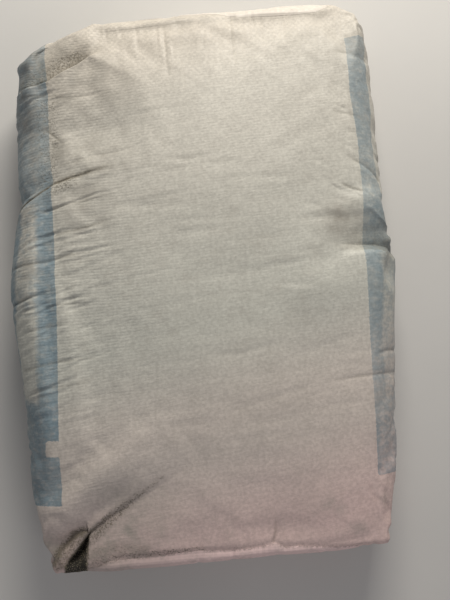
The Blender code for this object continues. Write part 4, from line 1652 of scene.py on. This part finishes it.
class CEMENT_SACK_OT_stage(bpy.types.Operator):
    """Make the pale floor, the soft lights and the camera of the photograph"""

    bl_idname = "cement_sack.stage"
    bl_label = "Studio"

    def execute(self, context):
        studio = context.scene.cement_sack_studio
        self.make_floor(studio)
        for name, (share, *light) in LIGHTS.items():
            self.make_light(name, studio.key_power * share, *light)
        context.scene.world = self.make_sky(studio)
        context.scene.camera = self.make_camera()
        context.scene.view_settings.view_transform = "Standard"
        return {"FINISHED"}

    def make_floor(self, studio):
        """The square floor under the sack, mottled a little."""
        half = studio.floor_size / 2
        mesh = bpy.data.meshes.new("floor")
        mesh.from_pydata([(-half, -half, 0), (half, -half, 0), (half, half, 0), (-half, half, 0)], [],
                         [(0, 1, 2, 3)])
        finish = Finish("studio_floor")
        cloud = finish.between(finish.noise(finish.place(), "floor"), 0.3, 0.7)
        colour = finish.shades(cloud, studio.floor_colour, FLOOR_SHADES)
        mesh.materials.append(finish.shade({"Base Color": colour, "Roughness": 0.8}))
        new_object("floor", mesh)

    def make_light(self, name, power, place, aim, size, colour):
        """A square light that stands at a place and is turned to another."""
        light = bpy.data.lights.new(name, "AREA")
        light.energy = power
        light.size = size
        light.color = colour
        obj = new_object(name, light)
        obj.location = place
        obj.rotation_mode = "QUATERNION"
        obj.rotation_quaternion = (Vector(aim) - Vector(place)).to_track_quat("-Z", "Y")

    def make_sky(self, studio):
        """The even light from all round."""
        world = bpy.data.worlds.new("studio")
        world.use_nodes = True
        background = world.node_tree.nodes["Background"]
        background.inputs["Color"].default_value = rgba(SKY_COLOUR)
        background.inputs["Strength"].default_value = studio.sky_strength
        return world

    def make_camera(self):
        """The camera of the photograph."""
        camera = bpy.data.cameras.new("camera")
        camera.sensor_width = SENSOR_MILLIMETRES
        camera.lens = VIEW.focal_pixels / max(PICTURE) * SENSOR_MILLIMETRES
        obj = new_object("camera", camera)
        obj.matrix_world = VIEW.matrix()
        return obj


class CEMENT_SACK_PT_panel(bpy.types.Panel):
    """Lists the steps that make the sack, and the sizes and colours they read"""

    bl_idname = "CEMENT_SACK_PT_panel"
    bl_label = "Cement Sack"
    bl_space_type = "VIEW_3D"
    bl_region_type = "UI"
    bl_category = "Cement Sack"

    def draw(self, context):
        for operator in OPERATORS:
            self.layout.operator(operator.bl_idname)
        for name, kind in SETTINGS.items():
            box = self.layout.box()
            for field in kind.__annotations__:
                box.prop(getattr(context.scene, name), field)


OPERATORS = (CEMENT_SACK_OT_fabric, CEMENT_SACK_OT_crumbs, CEMENT_SACK_OT_strips, CEMENT_SACK_OT_stage)
SETTINGS = {"cement_sack_sizes": SackSizes, "cement_sack_colours": SackColours,
            "cement_sack_studio": StudioSettings}


def register():
    for kind in (*SETTINGS.values(), *OPERATORS, CEMENT_SACK_PT_panel):
        bpy.utils.register_class(kind)
    for name, kind in SETTINGS.items():
        setattr(bpy.types.Scene, name, PointerProperty(type=kind))


def unregister():
    for name in SETTINGS:
        delattr(bpy.types.Scene, name)
    for kind in (CEMENT_SACK_PT_panel, *OPERATORS[::-1], *SETTINGS.values()):
        bpy.utils.unregister_class(kind)


def main():
    register()
    bpy.ops.cement_sack.fabric()
    bpy.ops.cement_sack.crumbs()
    bpy.ops.cement_sack.strips()
    bpy.ops.cement_sack.stage()


if __name__ == "__main__":
    main()
